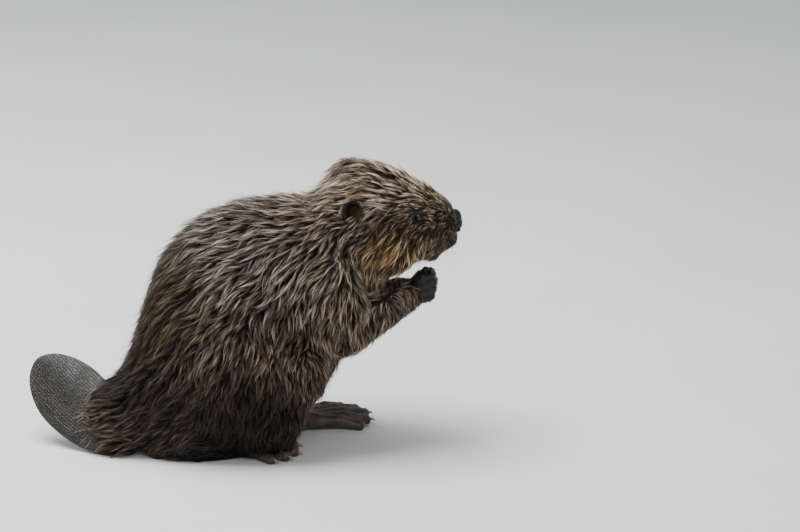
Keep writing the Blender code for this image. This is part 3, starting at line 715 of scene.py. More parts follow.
@dataclass(frozen=True)
class Paddle:
    """The bare tail blade: a broad oval, arched across, covered with small scales in rows."""

    route: tuple[Point, ...] = (
        (-0.126, -0.060, 0.0285),
        (-0.173, -0.047, 0.0170),
        (-0.262, 0.022, 0.1040),
    )
    half_width: float = 0.0470
    widest: float = 0.71
    roll_root: float = math.radians(46.5)
    roll_tip: float = math.radians(46.8)
    half_thickness: float = 0.0092
    arch: float = 2.6
    root_share: float = 0.52
    tip_fill: float = 0.012
    fur_edge: float = -0.161
    fur_fade: float = 0.007
    steps: int = 70
    sides: int = 72
    row_pitch: float = 0.0030
    row_bow: float = 5.0
    scale_width: float = 0.0037
    scale_samples: int = 160

    def frame_at(self, t: float) -> tuple[Vector, Vector, Vector]:
        """Return how the blade stands at one place.

        Args:
            t: The place, from 0 at the root to 1 at the tip.

        Returns:
            Its centre and its directions across and upward.
        """
        root, bend, tip = (Vector(point) for point in self.route)
        centre = root * (1.0 - t) ** 2 + bend * (2.0 * t * (1.0 - t)) + tip * t * t
        along = ((bend - root) * (1.0 - t) + (tip - bend) * t).normalized()
        level = along.cross(Vector((0.0, 0.0, 1.0))).normalized()
        rise = level.cross(along).normalized()
        roll = self.roll_root + (self.roll_tip - self.roll_root) * t
        across = level * math.cos(roll) + rise * math.sin(roll)
        return centre, across, rise * math.cos(roll) - level * math.sin(roll)

    def width_at(self, t: float) -> float:
        """Return the half-width at t along the blade."""
        if t < self.widest:
            swell = (1.0 - self.root_share) * math.sin(0.5 * math.pi * t / self.widest)
            return self.half_width * (self.root_share + swell)
        fall = (t - self.widest) / (1.0 - self.widest)
        return self.half_width * math.sqrt(max(1.0 - fall * fall, self.tip_fill))

    def add(self, bm: BMesh) -> None:
        """Add the blade.

        Args:
            bm: The mesh under construction.
        """
        rings = []
        for step in range(self.steps + 1):
            t = math.sin(0.5 * math.pi * step / self.steps)
            centre, across, upward = self.frame_at(t)
            half_width = self.width_at(t)
            fullness = (1.15 - 0.45 * t) * (0.35 + 0.65 * half_width / self.half_width)
            ring = []
            for index in range(self.sides):
                angle = math.tau * index / self.sides
                offset = half_width * math.cos(angle)
                lift = self.half_thickness * fullness * math.sin(angle) - self.arch * offset * offset
                ring.append(centre + across * offset + upward * lift)
            rings.append(ring)
        add_lofted(bm, rings)

    def bared(self, points: Array) -> Array:
        """Return 1 where the blade is bare and 0 where the coat of the rump runs on over it."""
        waver = 0.004 * np.sin(points[:, 2] * 190.0) + 0.36 * (points[:, 2] - 0.03)
        start, end = self.fur_edge - self.fur_fade, self.fur_edge + self.fur_fade
        return 1.0 - ease(points[:, 0] - waver, start, end)

    def scale_place(self, points: Array) -> tuple[Array, Array]:
        """Return where points lie among the scales.

        Args:
            points: Places on the blade.

        Returns:
            The row, counted from the root, and the column, counted from the middle.
        """
        samples = [self.frame_at(step / self.scale_samples) for step in range(self.scale_samples + 1)]
        centres = np.array([sample[0] for sample in samples])
        across = np.array([sample[1] for sample in samples])
        along = unit(np.gradient(centres, axis=0))
        reach = np.concatenate([[0.0], np.cumsum(np.linalg.norm(np.diff(centres, axis=0), axis=1))])
        nearest = ((points[:, None, :] - centres[None]) ** 2).sum(2).argmin(1)
        away = points - centres[nearest]
        side = (away * across[nearest]).sum(1)
        bowed = reach[nearest] + (away * along[nearest]).sum(1) - self.row_bow * side * side
        return bowed / self.row_pitch, side / self.scale_width


@dataclass(frozen=True)
class Ear:
    """A small round ear, dished on its outer face, with a thick rim."""

    side: Side
    facing: Point = (0.52, 1.0, -0.06)
    half_height: float = 0.0155
    half_width: float = 0.0140
    half_thickness: float = 0.0046
    dish_share: float = 0.80
    dish_depth: float = 1.45
    dish_out: float = 1.05
    rim_share: float = 0.66
    canal_share: float = 0.62
    fringe: float = 0.50  # share of the height below which hair may fall across the dish
    canal_depth: float = 0.0085
    canal_ahead: float = 0.0030
    canal_middle: float = 0.15

    def turn(self) -> tuple[Vector, Matrix]:
        """Return the way the ear faces and the turn that brings +Z there."""
        facing = self.side.point(self.facing).normalized()
        return facing, facing.to_track_quat("Z", "Y").to_matrix().to_4x4()

    def seen_from(self, points: Array, ahead: float = 0.0) -> tuple[Array, Array]:
        """Return where points lie in the ear's own directions.

        Args:
            points: Places near the ear.
            ahead: How far forward of the ear's centre to measure from.

        Returns:
            The distance from its axis, 1 at its rim, and the height over its middle plane.
        """
        _, turn = self.turn()
        away = points - np.array(self.side.point(EAR_CENTRE)) - np.array([ahead, 0.0, 0.0])
        local = away @ np.array(turn.to_3x3())
        radial = np.sqrt((local[:, 0] / self.half_width) ** 2 + (local[:, 1] / self.half_height) ** 2)
        return radial, local[:, 2]

    def hollow(self, points: Array) -> Array:
        """Return 1 for points in the dish and 0 on the furred rim and back."""
        radial, height = self.seen_from(points)
        return (1.0 - ease(radial, self.rim_share, self.dish_share)) * ease(height, -0.0030, 0.0)

    def covers(self, points: Array) -> Array:
        """Return whether points lie in front of the dish, where hair would hide it."""
        radial, height = self.seen_from(points)
        before = (radial < self.dish_share) & (height > -0.001) & (height < 0.018)
        before |= (radial < self.canal_share) & (height > -0.012) & (height <= 0.0)
        return before & (points[:, 2] - EAR_CENTRE[2] > -self.fringe * self.half_height)

    def deepen(self, points: Array, normals: Array) -> Array:
        """Return how far the dish runs down into the ear canal.

        Args:
            points: Places on the skin.
            normals: The skin's outward directions there.

        Returns:
            How far to press each point in.
        """
        radial, height = self.seen_from(points, self.canal_ahead)
        facing_out = ease(normals @ np.array(self.turn()[0]), 0.0, 0.5)
        funnel = 1.0 - ease(radial, self.canal_middle, self.rim_share)
        return self.canal_depth * funnel * facing_out * (np.abs(height) < 0.008)

    def make(self) -> Object:
        """Return the ear as a closed bowl."""
        facing, turn = self.turn()
        centre = self.side.point(EAR_CENTRE)
        bm = bmesh.new()
        add_ellipsoid(bm, centre, (self.half_width, self.half_height, self.half_thickness), turn, 40)
        ear = to_object("ear_bowl", bm)
        bm = bmesh.new()
        dish = (
            self.half_width * self.dish_share,
            self.half_height * self.dish_share,
            self.half_thickness * self.dish_depth,
        )
        add_ellipsoid(bm, centre + facing * (self.half_thickness * self.dish_out), dish, turn, 40)
        subtract(ear, to_object("ear_dish", bm))
        return ear


# ---------------------------------------------------------------- finishes


class Nodes:
    """A short way to write a node tree."""

    def __init__(self, tree: NodeTree) -> None:
        """Start from an empty tree."""
        self.tree = tree
        tree.nodes.clear()

    def add(self, kind: str, inputs: dict | None = None, **settings: object) -> Node:
        """Add a node.

        Args:
            kind: The node's type.
            inputs: Values or output sockets by input name or number.
            **settings: Properties of the node.

        Returns:
            The node.
        """
        node = self.tree.nodes.new(kind)
        for name, value in settings.items():
            setattr(node, name, value)
        for key, value in (inputs or {}).items():
            socket = node.inputs[key]
            if isinstance(value, NodeSocket):
                self.tree.links.new(value, socket)
            else:
                socket.default_value = value
        return node

    def math(self, operation: str, *values: object) -> NodeSocket:
        """Return the result of a sum on numbers or sockets."""
        return self.add("ShaderNodeMath", dict(enumerate(values)), operation=operation).outputs[0]

    def vector(self, operation: str, *values: object) -> NodeSocket:
        """Return the result of a sum on vectors or sockets."""
        return self.add("ShaderNodeVectorMath", dict(enumerate(values)), operation=operation).outputs[0]

    def mix(self, share: object, first: object, second: object, blend: str = "MIX") -> NodeSocket:
        """Return a mix of two colours.

        Args:
            share: How much of the second colour shows, from 0 to 1.
            first: A colour or socket.
            second: A colour or socket.
            blend: How the second colour is laid over the first.

        Returns:
            The socket of the mixed colour.
        """
        node = self.add("ShaderNodeMix", data_type="RGBA", blend_type=blend)
        values = {0: share, 6: first, 7: second}
        for socket, value in ((node.inputs[number], values[number]) for number in values):
            if isinstance(value, NodeSocket):
                self.tree.links.new(value, socket)
            elif socket.type == "RGBA":
                socket.default_value = (*value, 1.0)
            else:
                socket.default_value = value
        return node.outputs[2]

    def attribute(self, name: str) -> NodeSocket:
        """Return the number that the mesh stores under a name."""
        node = self.add("ShaderNodeAttribute", attribute_name=name, attribute_type="GEOMETRY")
        return node.outputs["Fac"]

    def smooth_range(
        self,
        value: object,
        low: float,
        high: float,
        start: float,
        end: float,
    ) -> NodeSocket:
        """Return a value eased from start at low to end at high."""
        inputs = {0: value, 1: low, 2: high, 3: start, 4: end}
        return self.add("ShaderNodeMapRange", inputs, interpolation_type="SMOOTHSTEP").outputs[0]

    def noise(self, place: object, scale: float, detail: float = 3.0) -> NodeSocket:
        """Return a noise of a given scale."""
        inputs = {"Vector": place, "Scale": scale, "Detail": detail}
        return self.add("ShaderNodeTexNoise", inputs).outputs[0]

    def bump(
        self,
        height: object,
        distance: float,
        strength: float,
        below: object = None,
    ) -> NodeSocket:
        """Return a normal bent by a height.

        Args:
            height: The height from 0 to 1.
            distance: How far 1 stands out, in metres.
            strength: How much of the bend shows.
            below: A normal that is bent already, if any.

        Returns:
            The socket of the normal.
        """
        inputs = {"Height": height, "Distance": distance, "Strength": strength}
        if below is not None:
            inputs["Normal"] = below
        return self.add("ShaderNodeBump", inputs).outputs[0]

    def surface(self, colour: NodeSocket, roughness: object, specular: float, **more: object) -> None:
        """End the tree in one plain surface.

        Args:
            colour: Its colour.
            roughness: Its roughness.
            specular: How strongly it mirrors.
            **more: Values or sockets of its other inputs by name.
        """
        inputs = {"Base Color": colour, "Roughness": roughness, "Specular IOR Level": specular, **more}
        shader = self.add("ShaderNodeBsdfPrincipled", inputs)
        self.add("ShaderNodeOutputMaterial", {0: shader.outputs[0]})


def new_material(name: str) -> tuple[Material, Nodes]:
    """Return a new material and its emptied node tree."""
    material = bpy.data.materials.new(name)
    material.use_nodes = True
    return material, Nodes(material.node_tree)


@dataclass(frozen=True)
class Marking:
    """A soft patch of colour on both sides of the animal."""

    centre: Point
    size: Point
    colour: Point
    strength: float


COAT_BASE = (0.170, 0.118, 0.078)
MARKINGS = (
    # upper flank paler and greyer: partly the coat's colour, partly painted sheen of the wet hair
    Marking((0.02, 0.06, 0.27), (0.13, 0.12, 0.085), (0.270, 0.215, 0.170), 0.9),
    Marking((0.12, 0.07, 0.24), (0.075, 0.08, 0.085), (0.280, 0.208, 0.148), 0.8),
    Marking((-0.09, 0.06, 0.21), (0.060, 0.100, 0.090), (0.084, 0.056, 0.028), 0.95),
    Marking((0.165, 0.05, 0.195), (0.050, 0.080, 0.050), (0.250, 0.182, 0.118), 0.7),
    Marking((0.17, 0.02, 0.35), (0.120, 0.085, 0.055), (0.425, 0.303, 0.202), 1.0),
    Marking((0.205, 0.05, 0.262), (0.048, 0.060, 0.042), (0.430, 0.252, 0.108), 1.0),
    Marking((0.222, 0.035, 0.255), (0.026, 0.050, 0.030), (0.550, 0.355, 0.145), 0.8),
    Marking((0.248, 0.00, 0.342), (0.040, 0.050, 0.022), (0.300, 0.225, 0.130), 0.9),
    Marking((0.272, 0.02, 0.292), (0.026, 0.036, 0.032), (0.140, 0.100, 0.056), 0.9),
    Marking((0.196, 0.06, 0.318), (0.040, 0.026, 0.017), (0.120, 0.082, 0.054), 0.8),
    Marking((0.284, 0.016, 0.279), (0.017, 0.036, 0.022), (0.055, 0.040, 0.025), 0.85),
    Marking((0.2385, 0.042, 0.315), (0.015, 0.020, 0.013), (0.060, 0.048, 0.038), 0.9),
    # lower rump, thigh and the fur at the floor, darker towards the floor: painted shade under the body
    # and at the floor, on top of the darker wet fur low down
    Marking((-0.12, 0.05, 0.09), (0.090, 0.130, 0.095), (0.040, 0.027, 0.014), 0.95),
    Marking((0.02, 0.10, 0.06), (0.120, 0.100, 0.085), (0.030, 0.020, 0.009), 0.95),
    Marking((0.02, 0.08, 0.00), (0.180, 0.120, 0.045), (0.010, 0.007, 0.003), 0.9),
)


def markings_group(shift: Vector) -> NodeTree:
    """Return the node group that colours skin and coat alike.

    Args:
        shift: The move from local positions onto the frame.

    Returns:
        A group whose only output is the colour of the hair tips.
    """
    group = bpy.data.node_groups.new("coat_markings", "ShaderNodeTree")
    group.interface.new_socket("Colour", in_out="OUTPUT", socket_type="NodeSocketColor")
    nodes = Nodes(group)
    place = nodes.add("ShaderNodeTexCoord").outputs["Object"]
    local = nodes.vector("SUBTRACT", place, tuple(shift))
    parts = nodes.add("ShaderNodeSeparateXYZ", {0: local})
    fold = nodes.math("ABSOLUTE", parts.outputs[1])
    ends = {0: parts.outputs[0], 1: fold, 2: parts.outputs[2]}
    folded = nodes.add("ShaderNodeCombineXYZ", ends).outputs[0]
    waver = nodes.add("ShaderNodeTexNoise", {"Vector": local, "Scale": 26.0, "Detail": 2.0}).outputs[1]
    waver = nodes.vector("SUBTRACT", waver, (0.5,) * 3)
    waver = nodes.add("ShaderNodeVectorMath", {0: waver, "Scale": 0.045}, operation="SCALE").outputs[0]
    folded = nodes.vector("ADD", folded, waver)
    colour: object = COAT_BASE
    for marking in MARKINGS:
        away = nodes.vector("SUBTRACT", folded, marking.centre)
        share = nodes.vector("DIVIDE", away, marking.size)
        length = nodes.add("ShaderNodeVectorMath", {0: share}, operation="LENGTH").outputs[1]
        amount = nodes.smooth_range(length, 0.35, 1.25, marking.strength, 0.0)
        colour = nodes.mix(amount, colour, marking.colour)
    nodes.add("NodeGroupOutput", {0: colour})
    return group


@dataclass(frozen=True)
class Finish:
    """A plain glossy or matt surface with a little uneven colour."""

    name: str
    colour: Point
    dark: Point
    roughness: float
    grain: float = 900.0
    relief: float = 0.0001
    specular: float = 0.5

    def make(self) -> Material:
        """Return the material."""
        material, nodes = new_material(self.name)
        place = nodes.add("ShaderNodeTexCoord").outputs["Object"]
        grain = nodes.noise(place, self.grain)
        share = nodes.smooth_range(grain, 0.35, 0.65, 0.0, 1.0)
        colour = nodes.mix(share, self.dark, self.colour)
        normal = nodes.bump(grain, self.relief, 0.6)
        nodes.surface(colour, self.roughness, self.specular, Normal=normal)
        return material


FLOOR = Finish("floor", (0.74, 0.73, 0.71), (0.71, 0.70, 0.68), 0.75, 3.0, 0.0)
WHISKER = Finish("whisker", (0.24, 0.19, 0.13), (0.12, 0.09, 0.06), 0.40)
WET_EYE = Finish("wet_eye", (0.007, 0.005, 0.004), (0.002, 0.002, 0.002), 0.05, 300.0, 0.0, 0.36)
CLAW_HORN = Finish("claw_horn", (0.300, 0.190, 0.150), (0.150, 0.085, 0.065), 0.34)
FORE_CLAW_HORN = Finish("fore_claw_horn", (0.110, 0.085, 0.070), (0.040, 0.030, 0.026), 0.34)


@dataclass(frozen=True)
class CoatFinish:
    """Wet hair: dark at the root and deepened there into painted shade among the locks, paler at the tip,
    each lock a little different, with the brightest strands painted as highlights and greyed as painted
    sky glints.
    """

    roughness: float = 0.36
    # how dark the roots go: dark hair bases, deepened into painted shade among the locks
    root_share: float = 0.02
    tone_low: float = 0.05
    # high tones paint the highlights of the wet locks into the colour
    tone_high: float = 5.60
    tone_power: float = 1.30
    # greying of the brightest strands, a painted sky glint
    glint_greying: float = 0.50
    specular: float = 0.24

    def make(self, markings: NodeTree) -> Material:
        """Return the material, coloured by the markings."""
        material, nodes = new_material("wet_coat")
        tips = nodes.add("ShaderNodeGroup", node_tree=markings).outputs[0]
        reach = nodes.attribute("reach")
        tone_and_glint = nodes.attribute("tone_and_glint")
        # the root end darkened: painted shade deep in the coat
        level = nodes.smooth_range(reach, 0.10, 0.95, self.root_share, 1.0)
        steep = nodes.math("POWER", tone_and_glint, self.tone_power)
        # tone sets the brightness, from dark strands up to painted highlights
        inputs = {0: steep, 3: self.tone_low, 4: self.tone_high}
        spread = nodes.add("ShaderNodeMapRange", inputs).outputs[0]
        amount = nodes.math("MULTIPLY", level, spread)
        shade = nodes.add("ShaderNodeCombineColor", {0: amount, 1: amount, 2: amount}).outputs[0]
        # the brightest strands are greyed as a painted glint
        inputs = {"Color": tips, "Saturation": self.glint_greying}
        glint_greying = nodes.add("ShaderNodeHueSaturation", inputs).outputs[0]
        glint_greyed = nodes.mix(nodes.smooth_range(tone_and_glint, 0.40, 0.95, 0.0, 1.0), tips, glint_greying)
        colour = nodes.mix(1.0, glint_greyed, shade, "MULTIPLY")
        colour.node.clamp_result = True
        nodes.surface(colour, self.roughness, self.specular)
        return material


@dataclass(frozen=True)
class SkinFinish:
    """The skin: dark under the coat, deepened there into painted shade between the locks, leathery on paws
    and nose, scaly on the tail with painted sheen on its upper side, and darkened as painted shade in its
    grooves, creases and ear hollows.
    """

    # skin under the coat near black: dark skin, deepened into painted shade between the locks
    under_coat_shade: float = 0.05
    tail: Point = (0.062, 0.058, 0.041)
    # pale grey painted on the upper side of the blade as sheen
    tail_upper: Point = (0.165, 0.165, 0.158)
    # near black: painted shade in the seams between scales, also the dark end of each scale's own tint
    tail_groove: Point = (0.008, 0.007, 0.006)
    tail_mottle: Point = (0.038, 0.035, 0.025)
    paw: Point = (0.014, 0.011, 0.009)
    paw_dark: Point = (0.003, 0.003, 0.003)
    sole: Point = (0.090, 0.068, 0.052)
    sole_dark: Point = (0.020, 0.015, 0.012)
    nose: Point = (0.019, 0.017, 0.015)
    nose_dark: Point = (0.003, 0.003, 0.003)
    # near black: painted shade in the ear hollow
    ear: Point = (0.002, 0.002, 0.002)
    lid: Point = (0.020, 0.018, 0.017)
    crease_scale: float = 420.0
    specular: float = 0.26

    def scales(self, nodes: Nodes) -> tuple[NodeSocket, ...]:
        """Return the grooves between the scales of the tail, which are darkened as painted shade, each
        scale's own tint, and their height.
        """
        parts = {0: nodes.attribute("scale_column"), 1: nodes.attribute("scale_row")}
        place = nodes.add("ShaderNodeCombineXYZ", parts).outputs[0]
        inputs = {"Vector": place, "Scale": 1.0, "Randomness": 0.50}
        flat = {"voronoi_dimensions": "2D"}
        edge = nodes.add("ShaderNodeTexVoronoi", inputs, feature="DISTANCE_TO_EDGE", **flat)
        cell = nodes.add("ShaderNodeTexVoronoi", inputs, **flat)
        tint = nodes.add("ShaderNodeSeparateColor", {0: cell.outputs["Color"]}).outputs[0]
        groove = nodes.smooth_range(edge.outputs[0], 0.02, 0.24, 1.0, 0.0)
        height = nodes.smooth_range(edge.outputs[0], 0.0, 0.36, 0.0, 1.0)
        return groove, tint, nodes.math("MULTIPLY", height, nodes.attribute(Bare.TAIL.value))

    def make(self, markings: NodeTree) -> Material:
        """Return the material, coloured by the markings where it bears coat."""
        material, nodes = new_material("skin")
        place = nodes.add("ShaderNodeTexCoord").outputs["Object"]
        tips = nodes.add("ShaderNodeGroup", node_tree=markings).outputs[0]
        on = {kind: nodes.attribute(kind.value) for kind in Bare}
        # skin under the coat darkened: painted shade between the locks
        colour = nodes.mix(1.0, tips, (self.under_coat_shade,) * 3, "MULTIPLY")
        broad = nodes.noise(place, 55.0, 4.0)
        fine = nodes.noise(place, 420.0, 3.0)
        mottle = nodes.smooth_range(broad, 0.38, 0.62, 0.0, 1.0)
        speck = nodes.smooth_range(fine, 0.35, 0.65, 0.0, 1.0)
        # grooves of the face: nostrils, mouth line, cleft and lid creases, darkened below as painted shade
        groove = nodes.attribute("groove")
        seam_shade, tint, scale_height = self.scales(nodes)
        # the upper side of the blade, where the sheen is painted
        painted_sheen_side = nodes.smooth_range(nodes.attribute("scale_column"), -2.0, 12.0, 0.0, 1.0)
        tail = nodes.mix(mottle, self.tail, self.tail_mottle)
        share = nodes.math("MULTIPLY", painted_sheen_side, nodes.math("ADD", 0.6, mottle))
        tail = nodes.mix(share, tail, self.tail_upper)
        tail = nodes.mix(nodes.math("MULTIPLY", tint, 0.45), tail, self.tail_groove)
        # seams between the scales darkened: painted shade
        tail = nodes.mix(seam_shade, tail, self.tail_groove)
        colour = nodes.mix(on[Bare.TAIL], colour, tail)
        inputs = {"Vector": place, "Scale": self.crease_scale}
        cells = nodes.add("ShaderNodeTexVoronoi", inputs, feature="DISTANCE_TO_EDGE")
        crease = nodes.smooth_range(cells.outputs[0], 0.0, 0.16, 1.0, 0.0)
        height = nodes.add("ShaderNodeSeparateXYZ", {0: place}).outputs[2]
        above = nodes.smooth_range(height, 0.08, 0.12, 0.0, 1.0)
        light = nodes.mix(above, self.sole, self.paw)
        dark = nodes.mix(above, self.sole_dark, self.paw_dark)
        paw = nodes.mix(nodes.math("MULTIPLY", mottle, 0.6), light, dark)
        # the creases and grooves of the paws darkened: painted shade
        paw = nodes.mix(nodes.math("MULTIPLY", crease, 0.5), paw, dark)
        paw = nodes.mix(groove, paw, dark)
        colour = nodes.mix(on[Bare.PAW], colour, paw)
        nose = nodes.mix(speck, self.nose_dark, self.nose)
        # nostrils and cleft darkened: painted shade
        nose = nodes.mix(groove, nose, self.nose_dark)
        colour = nodes.mix(on[Bare.NOSE], colour, nose)
        # the ear dish near black: painted shade in the hollow
        colour = nodes.mix(on[Bare.EAR], colour, self.ear)
        # lid creases darkened: painted shade
        lid = nodes.mix(groove, self.lid, self.nose_dark)
        colour = nodes.mix(on[Bare.LID], colour, lid)
        normal = nodes.bump(cells.outputs[0], 0.0006, 0.35)
        normal = nodes.bump(fine, 0.0003, 0.35, normal)
        normal = nodes.bump(scale_height, 0.0008, 0.9, normal)
        gloss = nodes.smooth_range(fine, 0.3, 0.7, 0.34, 0.50)
        dull = nodes.math("MULTIPLY", on[Bare.EAR], 0.45)
        wet = nodes.math("ADD", on[Bare.TAIL], on[Bare.NOSE])
        dull = nodes.math("SUBTRACT", dull, nodes.math("MULTIPLY", wet, 0.10))
        bare = nodes.math("ADD", wet, on[Bare.PAW])
        bare = nodes.math("ADD", bare, on[Bare.LID])
        dull = nodes.math("ADD", dull, nodes.smooth_range(bare, 0.0, 0.6, 0.45, 0.0))
        roughness = nodes.math("MINIMUM", nodes.math("ADD", gloss, dull), 1.0)
        nodes.surface(colour, roughness, self.specular, Normal=normal)
        return material


# ---------------------------------------------------------------- skin


@dataclass
class Skin:
    """The one closed surface under the coat, with all its bare parts."""

    frame: dict
    shift: Vector
    comb: Comb
    flesh: tuple[str, ...] = (
        "trunk", "neck", "tail_root", "head", "lower_jaw",
        "arm_left", "arm_right", "leg_left", "leg_right",
    )
    bare: tuple[str, ...] = (
        "tail_paddle", "nose", "ear_left", "ear_right",
        "hand_left", "hand_right", "foot_left", "foot_right",
    )
    core_voxel: float = 0.0024
    skin_voxel: float = 0.00115
    overlap: float = 0.0006
    inset: float = 0.75  # share of the coat's depth by which the skin lies inside the solids
    nape_centre: Point = (0.104, 0.0, 0.352)
    nape_size: Point = (0.052, 0.080, 0.055)
    nape_drop: float = 0.0095
    nose_pad: Point = (0.2857, 0.0, 0.3027)
    nose_pad_size: Point = (0.0090, 0.0140, 0.0122)
    nose_wing: Point = (0.2862, 0.0092, 0.2965)
    nose_wing_size: Point = (0.0088, 0.0084, 0.0104)
    touch: float = 0.0009  # skin this close to a bare part is bare itself
    touch_fade: float = 0.0016
    touch_reach: float = 0.004
    cuff: float = 0.0040
    raised: float = 0.10  # paws above this height are hands
    muzzle_from: Pair = (0.262, 0.272)
    muzzle_above: Pair = (0.245, 0.255)
    even_ratio: float = 0.62
    most_faces: int = 172_000
    eye_area: float = 0.0175
    nose_area: float = 0.0200
    area_step: float = 0.12
    scales_before: float = -0.120
    paddle: Paddle = field(default_factory=Paddle)

    def core(self) -> Object:
        """Return the furred body, drawn in by the depth of its coat."""
        bm = bmesh.new()
        for name in self.flesh:
            part = bmesh.new()
            part.from_mesh(self.frame["nodes"][name].data)
            bmesh.ops.remove_doubles(part, verts=part.verts, dist=1e-5)
            part.normal_update()
            for vertex in part.verts:
                vertex.co += vertex.normal * self.overlap - self.shift
            pour(part, bm)
        core = to_object("core", bm)
        fuse(core, self.core_voxel, 10)
        self.keep_largest(core)
        points = points_of(core.data)
        _, _, depths = self.comb.lie(points, normals_of(core.data))
        drawn = points - normals_of(core.data) * (self.inset * depths)[:, None]
        away = (points - np.array(self.nape_centre)) / np.array(self.nape_size)
        drawn[:, 2] -= self.nape_drop * (1.0 - ease(np.linalg.norm(away, axis=1), 0.25, 1.0))
        move_to(core.data, drawn)
        return core

    @staticmethod
    def keep_largest(obj: Object) -> None:
        """Delete all but the largest connected piece of a mesh."""
        bm = bmesh.new()
        bm.from_mesh(obj.data)
        left = set(bm.verts)
        islands = []
        while left:
            island = [left.pop()]
            for vertex in island:
                for other in (edge.other_vert(vertex) for edge in vertex.link_edges):
                    if other in left:
                        left.remove(other)
                        island.append(other)
            islands.append(island)
        islands.sort(key=len)
        spare = [vertex for island in islands[:-1] for vertex in island]
        bmesh.ops.delete(bm, geom=spare, context="VERTS")
        bm.to_mesh(obj.data)
        bm.free()

    def parts(self) -> list[tuple[Bare, Object]]:
        """Return the bare parts, each with its kind."""
        made = []
        for side in Side:
            for paw in (Hand(side), Foot(side)):
                bm = bmesh.new()
                paw.add(bm)
                made.append((Bare.PAW, to_object("bare_part", bm)))
            made.append((Bare.EAR, Ear(side).make()))
        bm = bmesh.new()
        self.paddle.add(bm)
        made.append((Bare.TAIL, to_object("bare_part", bm)))
        bm = bmesh.new()
        add_ellipsoid(bm, Vector(self.nose_pad), self.nose_pad_size)
        for side in Side:
            add_ellipsoid(bm, side.point(self.nose_wing), self.nose_wing_size)
        made.append((Bare.NOSE, to_object("bare_part", bm)))
        return made

    def zones(self, mesh: Mesh, parts: list[tuple[Bare, Object]]) -> dict[Bare, Array]:
        """Return how bare each vertex is.

        Args:
            mesh: The skin.
            parts: The bare parts, each with its kind.

        Returns:
            A number from 0 to 1 for each vertex, by kind.
        """
        points = points_of(mesh)
        found = {kind: np.zeros(len(points)) for kind in Bare}
        for kind, part in parts:
            tree = BVHTree.FromObject(part, bpy.context.evaluated_depsgraph_get())
            corners = points_of(part.data)
            low, high = corners.min(0) - self.touch_reach, corners.max(0) + self.touch_reach
            for index in np.nonzero(((points > low) & (points < high)).all(1))[0]:
                _, _, _, away = tree.find_nearest(Vector(points[index]), self.touch_reach)
                if away is not None:
                    near = 1.0 - min(max((away - self.touch) / self.touch_fade, 0.0), 1.0)
                    found[kind][index] = max(found[kind][index], near)
        for side in Side:
            on_side = points[:, 1] * side.value > 0.0
            found[Bare.EAR][on_side] *= Ear(side).hollow(points[on_side])
        fur_starts = Hand(Side.RIGHT).fur_starts
        raised = points[:, 2] > self.raised
        found[Bare.PAW][raised] *= ease(points[raised, 0], fur_starts, fur_starts + self.cuff)
        found[Bare.TAIL] *= self.paddle.bared(points)
        return found

    def thin(self, obj: Object, keep: Array) -> None:
        """Reduce the faces a little everywhere, then only where that harms nothing.

        Args:
            obj: The skin.
            keep: How much each vertex should be kept, from 0 to 1.
        """
        group = obj.vertex_groups.new(name="thin")
        group.add(np.nonzero(keep < 0.5)[0].tolist(), 1.0, "REPLACE")
        faces = len(obj.data.polygons) * 2
        even = obj.modifiers.new("even", "DECIMATE")
        even.ratio = self.even_ratio
        even.use_collapse_triangulate = True
        rest = obj.modifiers.new("rest", "DECIMATE")
        rest.ratio = min(1.0, self.most_faces / (faces * self.even_ratio))
        rest.vertex_group = group.name
        rest.vertex_group_factor = 1.0
        settle(obj)
        obj.vertex_groups.clear()

    def refine(self, obj: Object, centre: Vector, radius: float, passes: int) -> None:
        """Divide the faces round a place.

        Args:
            obj: The skin.
            centre: The middle of the place.
            radius: How far the place reaches.
            passes: How often its faces are divided.
        """
        bm = bmesh.new()
        bm.from_mesh(obj.data)
        for step in range(passes):
            near = radius * (1.0 - self.area_step * step)
            edges = []
            for edge in bm.edges:
                if all((vertex.co - centre).length < near for vertex in edge.verts):
                    edges.append(edge)
            bmesh.ops.subdivide_edges(bm, edges=edges, cuts=1, use_grid_fill=True, smooth=0.0)
        bmesh.ops.triangulate(bm, faces=[face for face in bm.faces if len(face.verts) > 3])
        bm.to_mesh(obj.data)
        bm.free()

    def make(self) -> Object:
        """Return the finished skin in local positions."""
        core = self.core()
        parts = self.parts()
        bm = bmesh.new()
        bm.from_mesh(core.data)
        for _, part in parts:
            bm.from_mesh(part.data)
        skin = to_object("skin", bm)
        discard(core)
        fuse(skin, self.skin_voxel, 3, 0.45)
        self.keep_largest(skin)
        points = points_of(skin.data)
        points[:, 2] = np.maximum(points[:, 2], 0.0)
        move_to(skin.data, points)
        log.info("skin fused: %d faces", len(skin.data.polygons))
        zones = self.zones(skin.data, parts)
        muzzle = ease(points[:, 0], *self.muzzle_from) * ease(points[:, 2], *self.muzzle_above)
        keep = np.maximum.reduce([*zones.values(), muzzle])
        for kind, values in zones.items():
            set_attribute(skin.data, kind.value, values)
        self.thin(skin, keep)
        log.info("skin thinned: %d faces", len(skin.data.polygons))
        for side in Side:
            self.refine(skin, side.point(EYE_CENTRE), self.eye_area, 2)
        self.refine(skin, NOSE_CENTRE, self.nose_area, 1)
        Face().sculpt(skin.data)
        self.place_scales(skin.data)
        discard(*[part for _, part in parts])
        skin.data.shade_smooth()
        return skin

    def place_scales(self, mesh: Mesh) -> None:
        """Store where each vertex of the tail lies among the scales."""
        points = points_of(mesh)
        chosen = points[:, 0] < self.scales_before
        places = np.zeros((len(points), 2))
        places[chosen] = np.stack(self.paddle.scale_place(points[chosen]), 1)
        set_attribute(mesh, "scale_row", places[:, 0])
        set_attribute(mesh, "scale_column", places[:, 1])


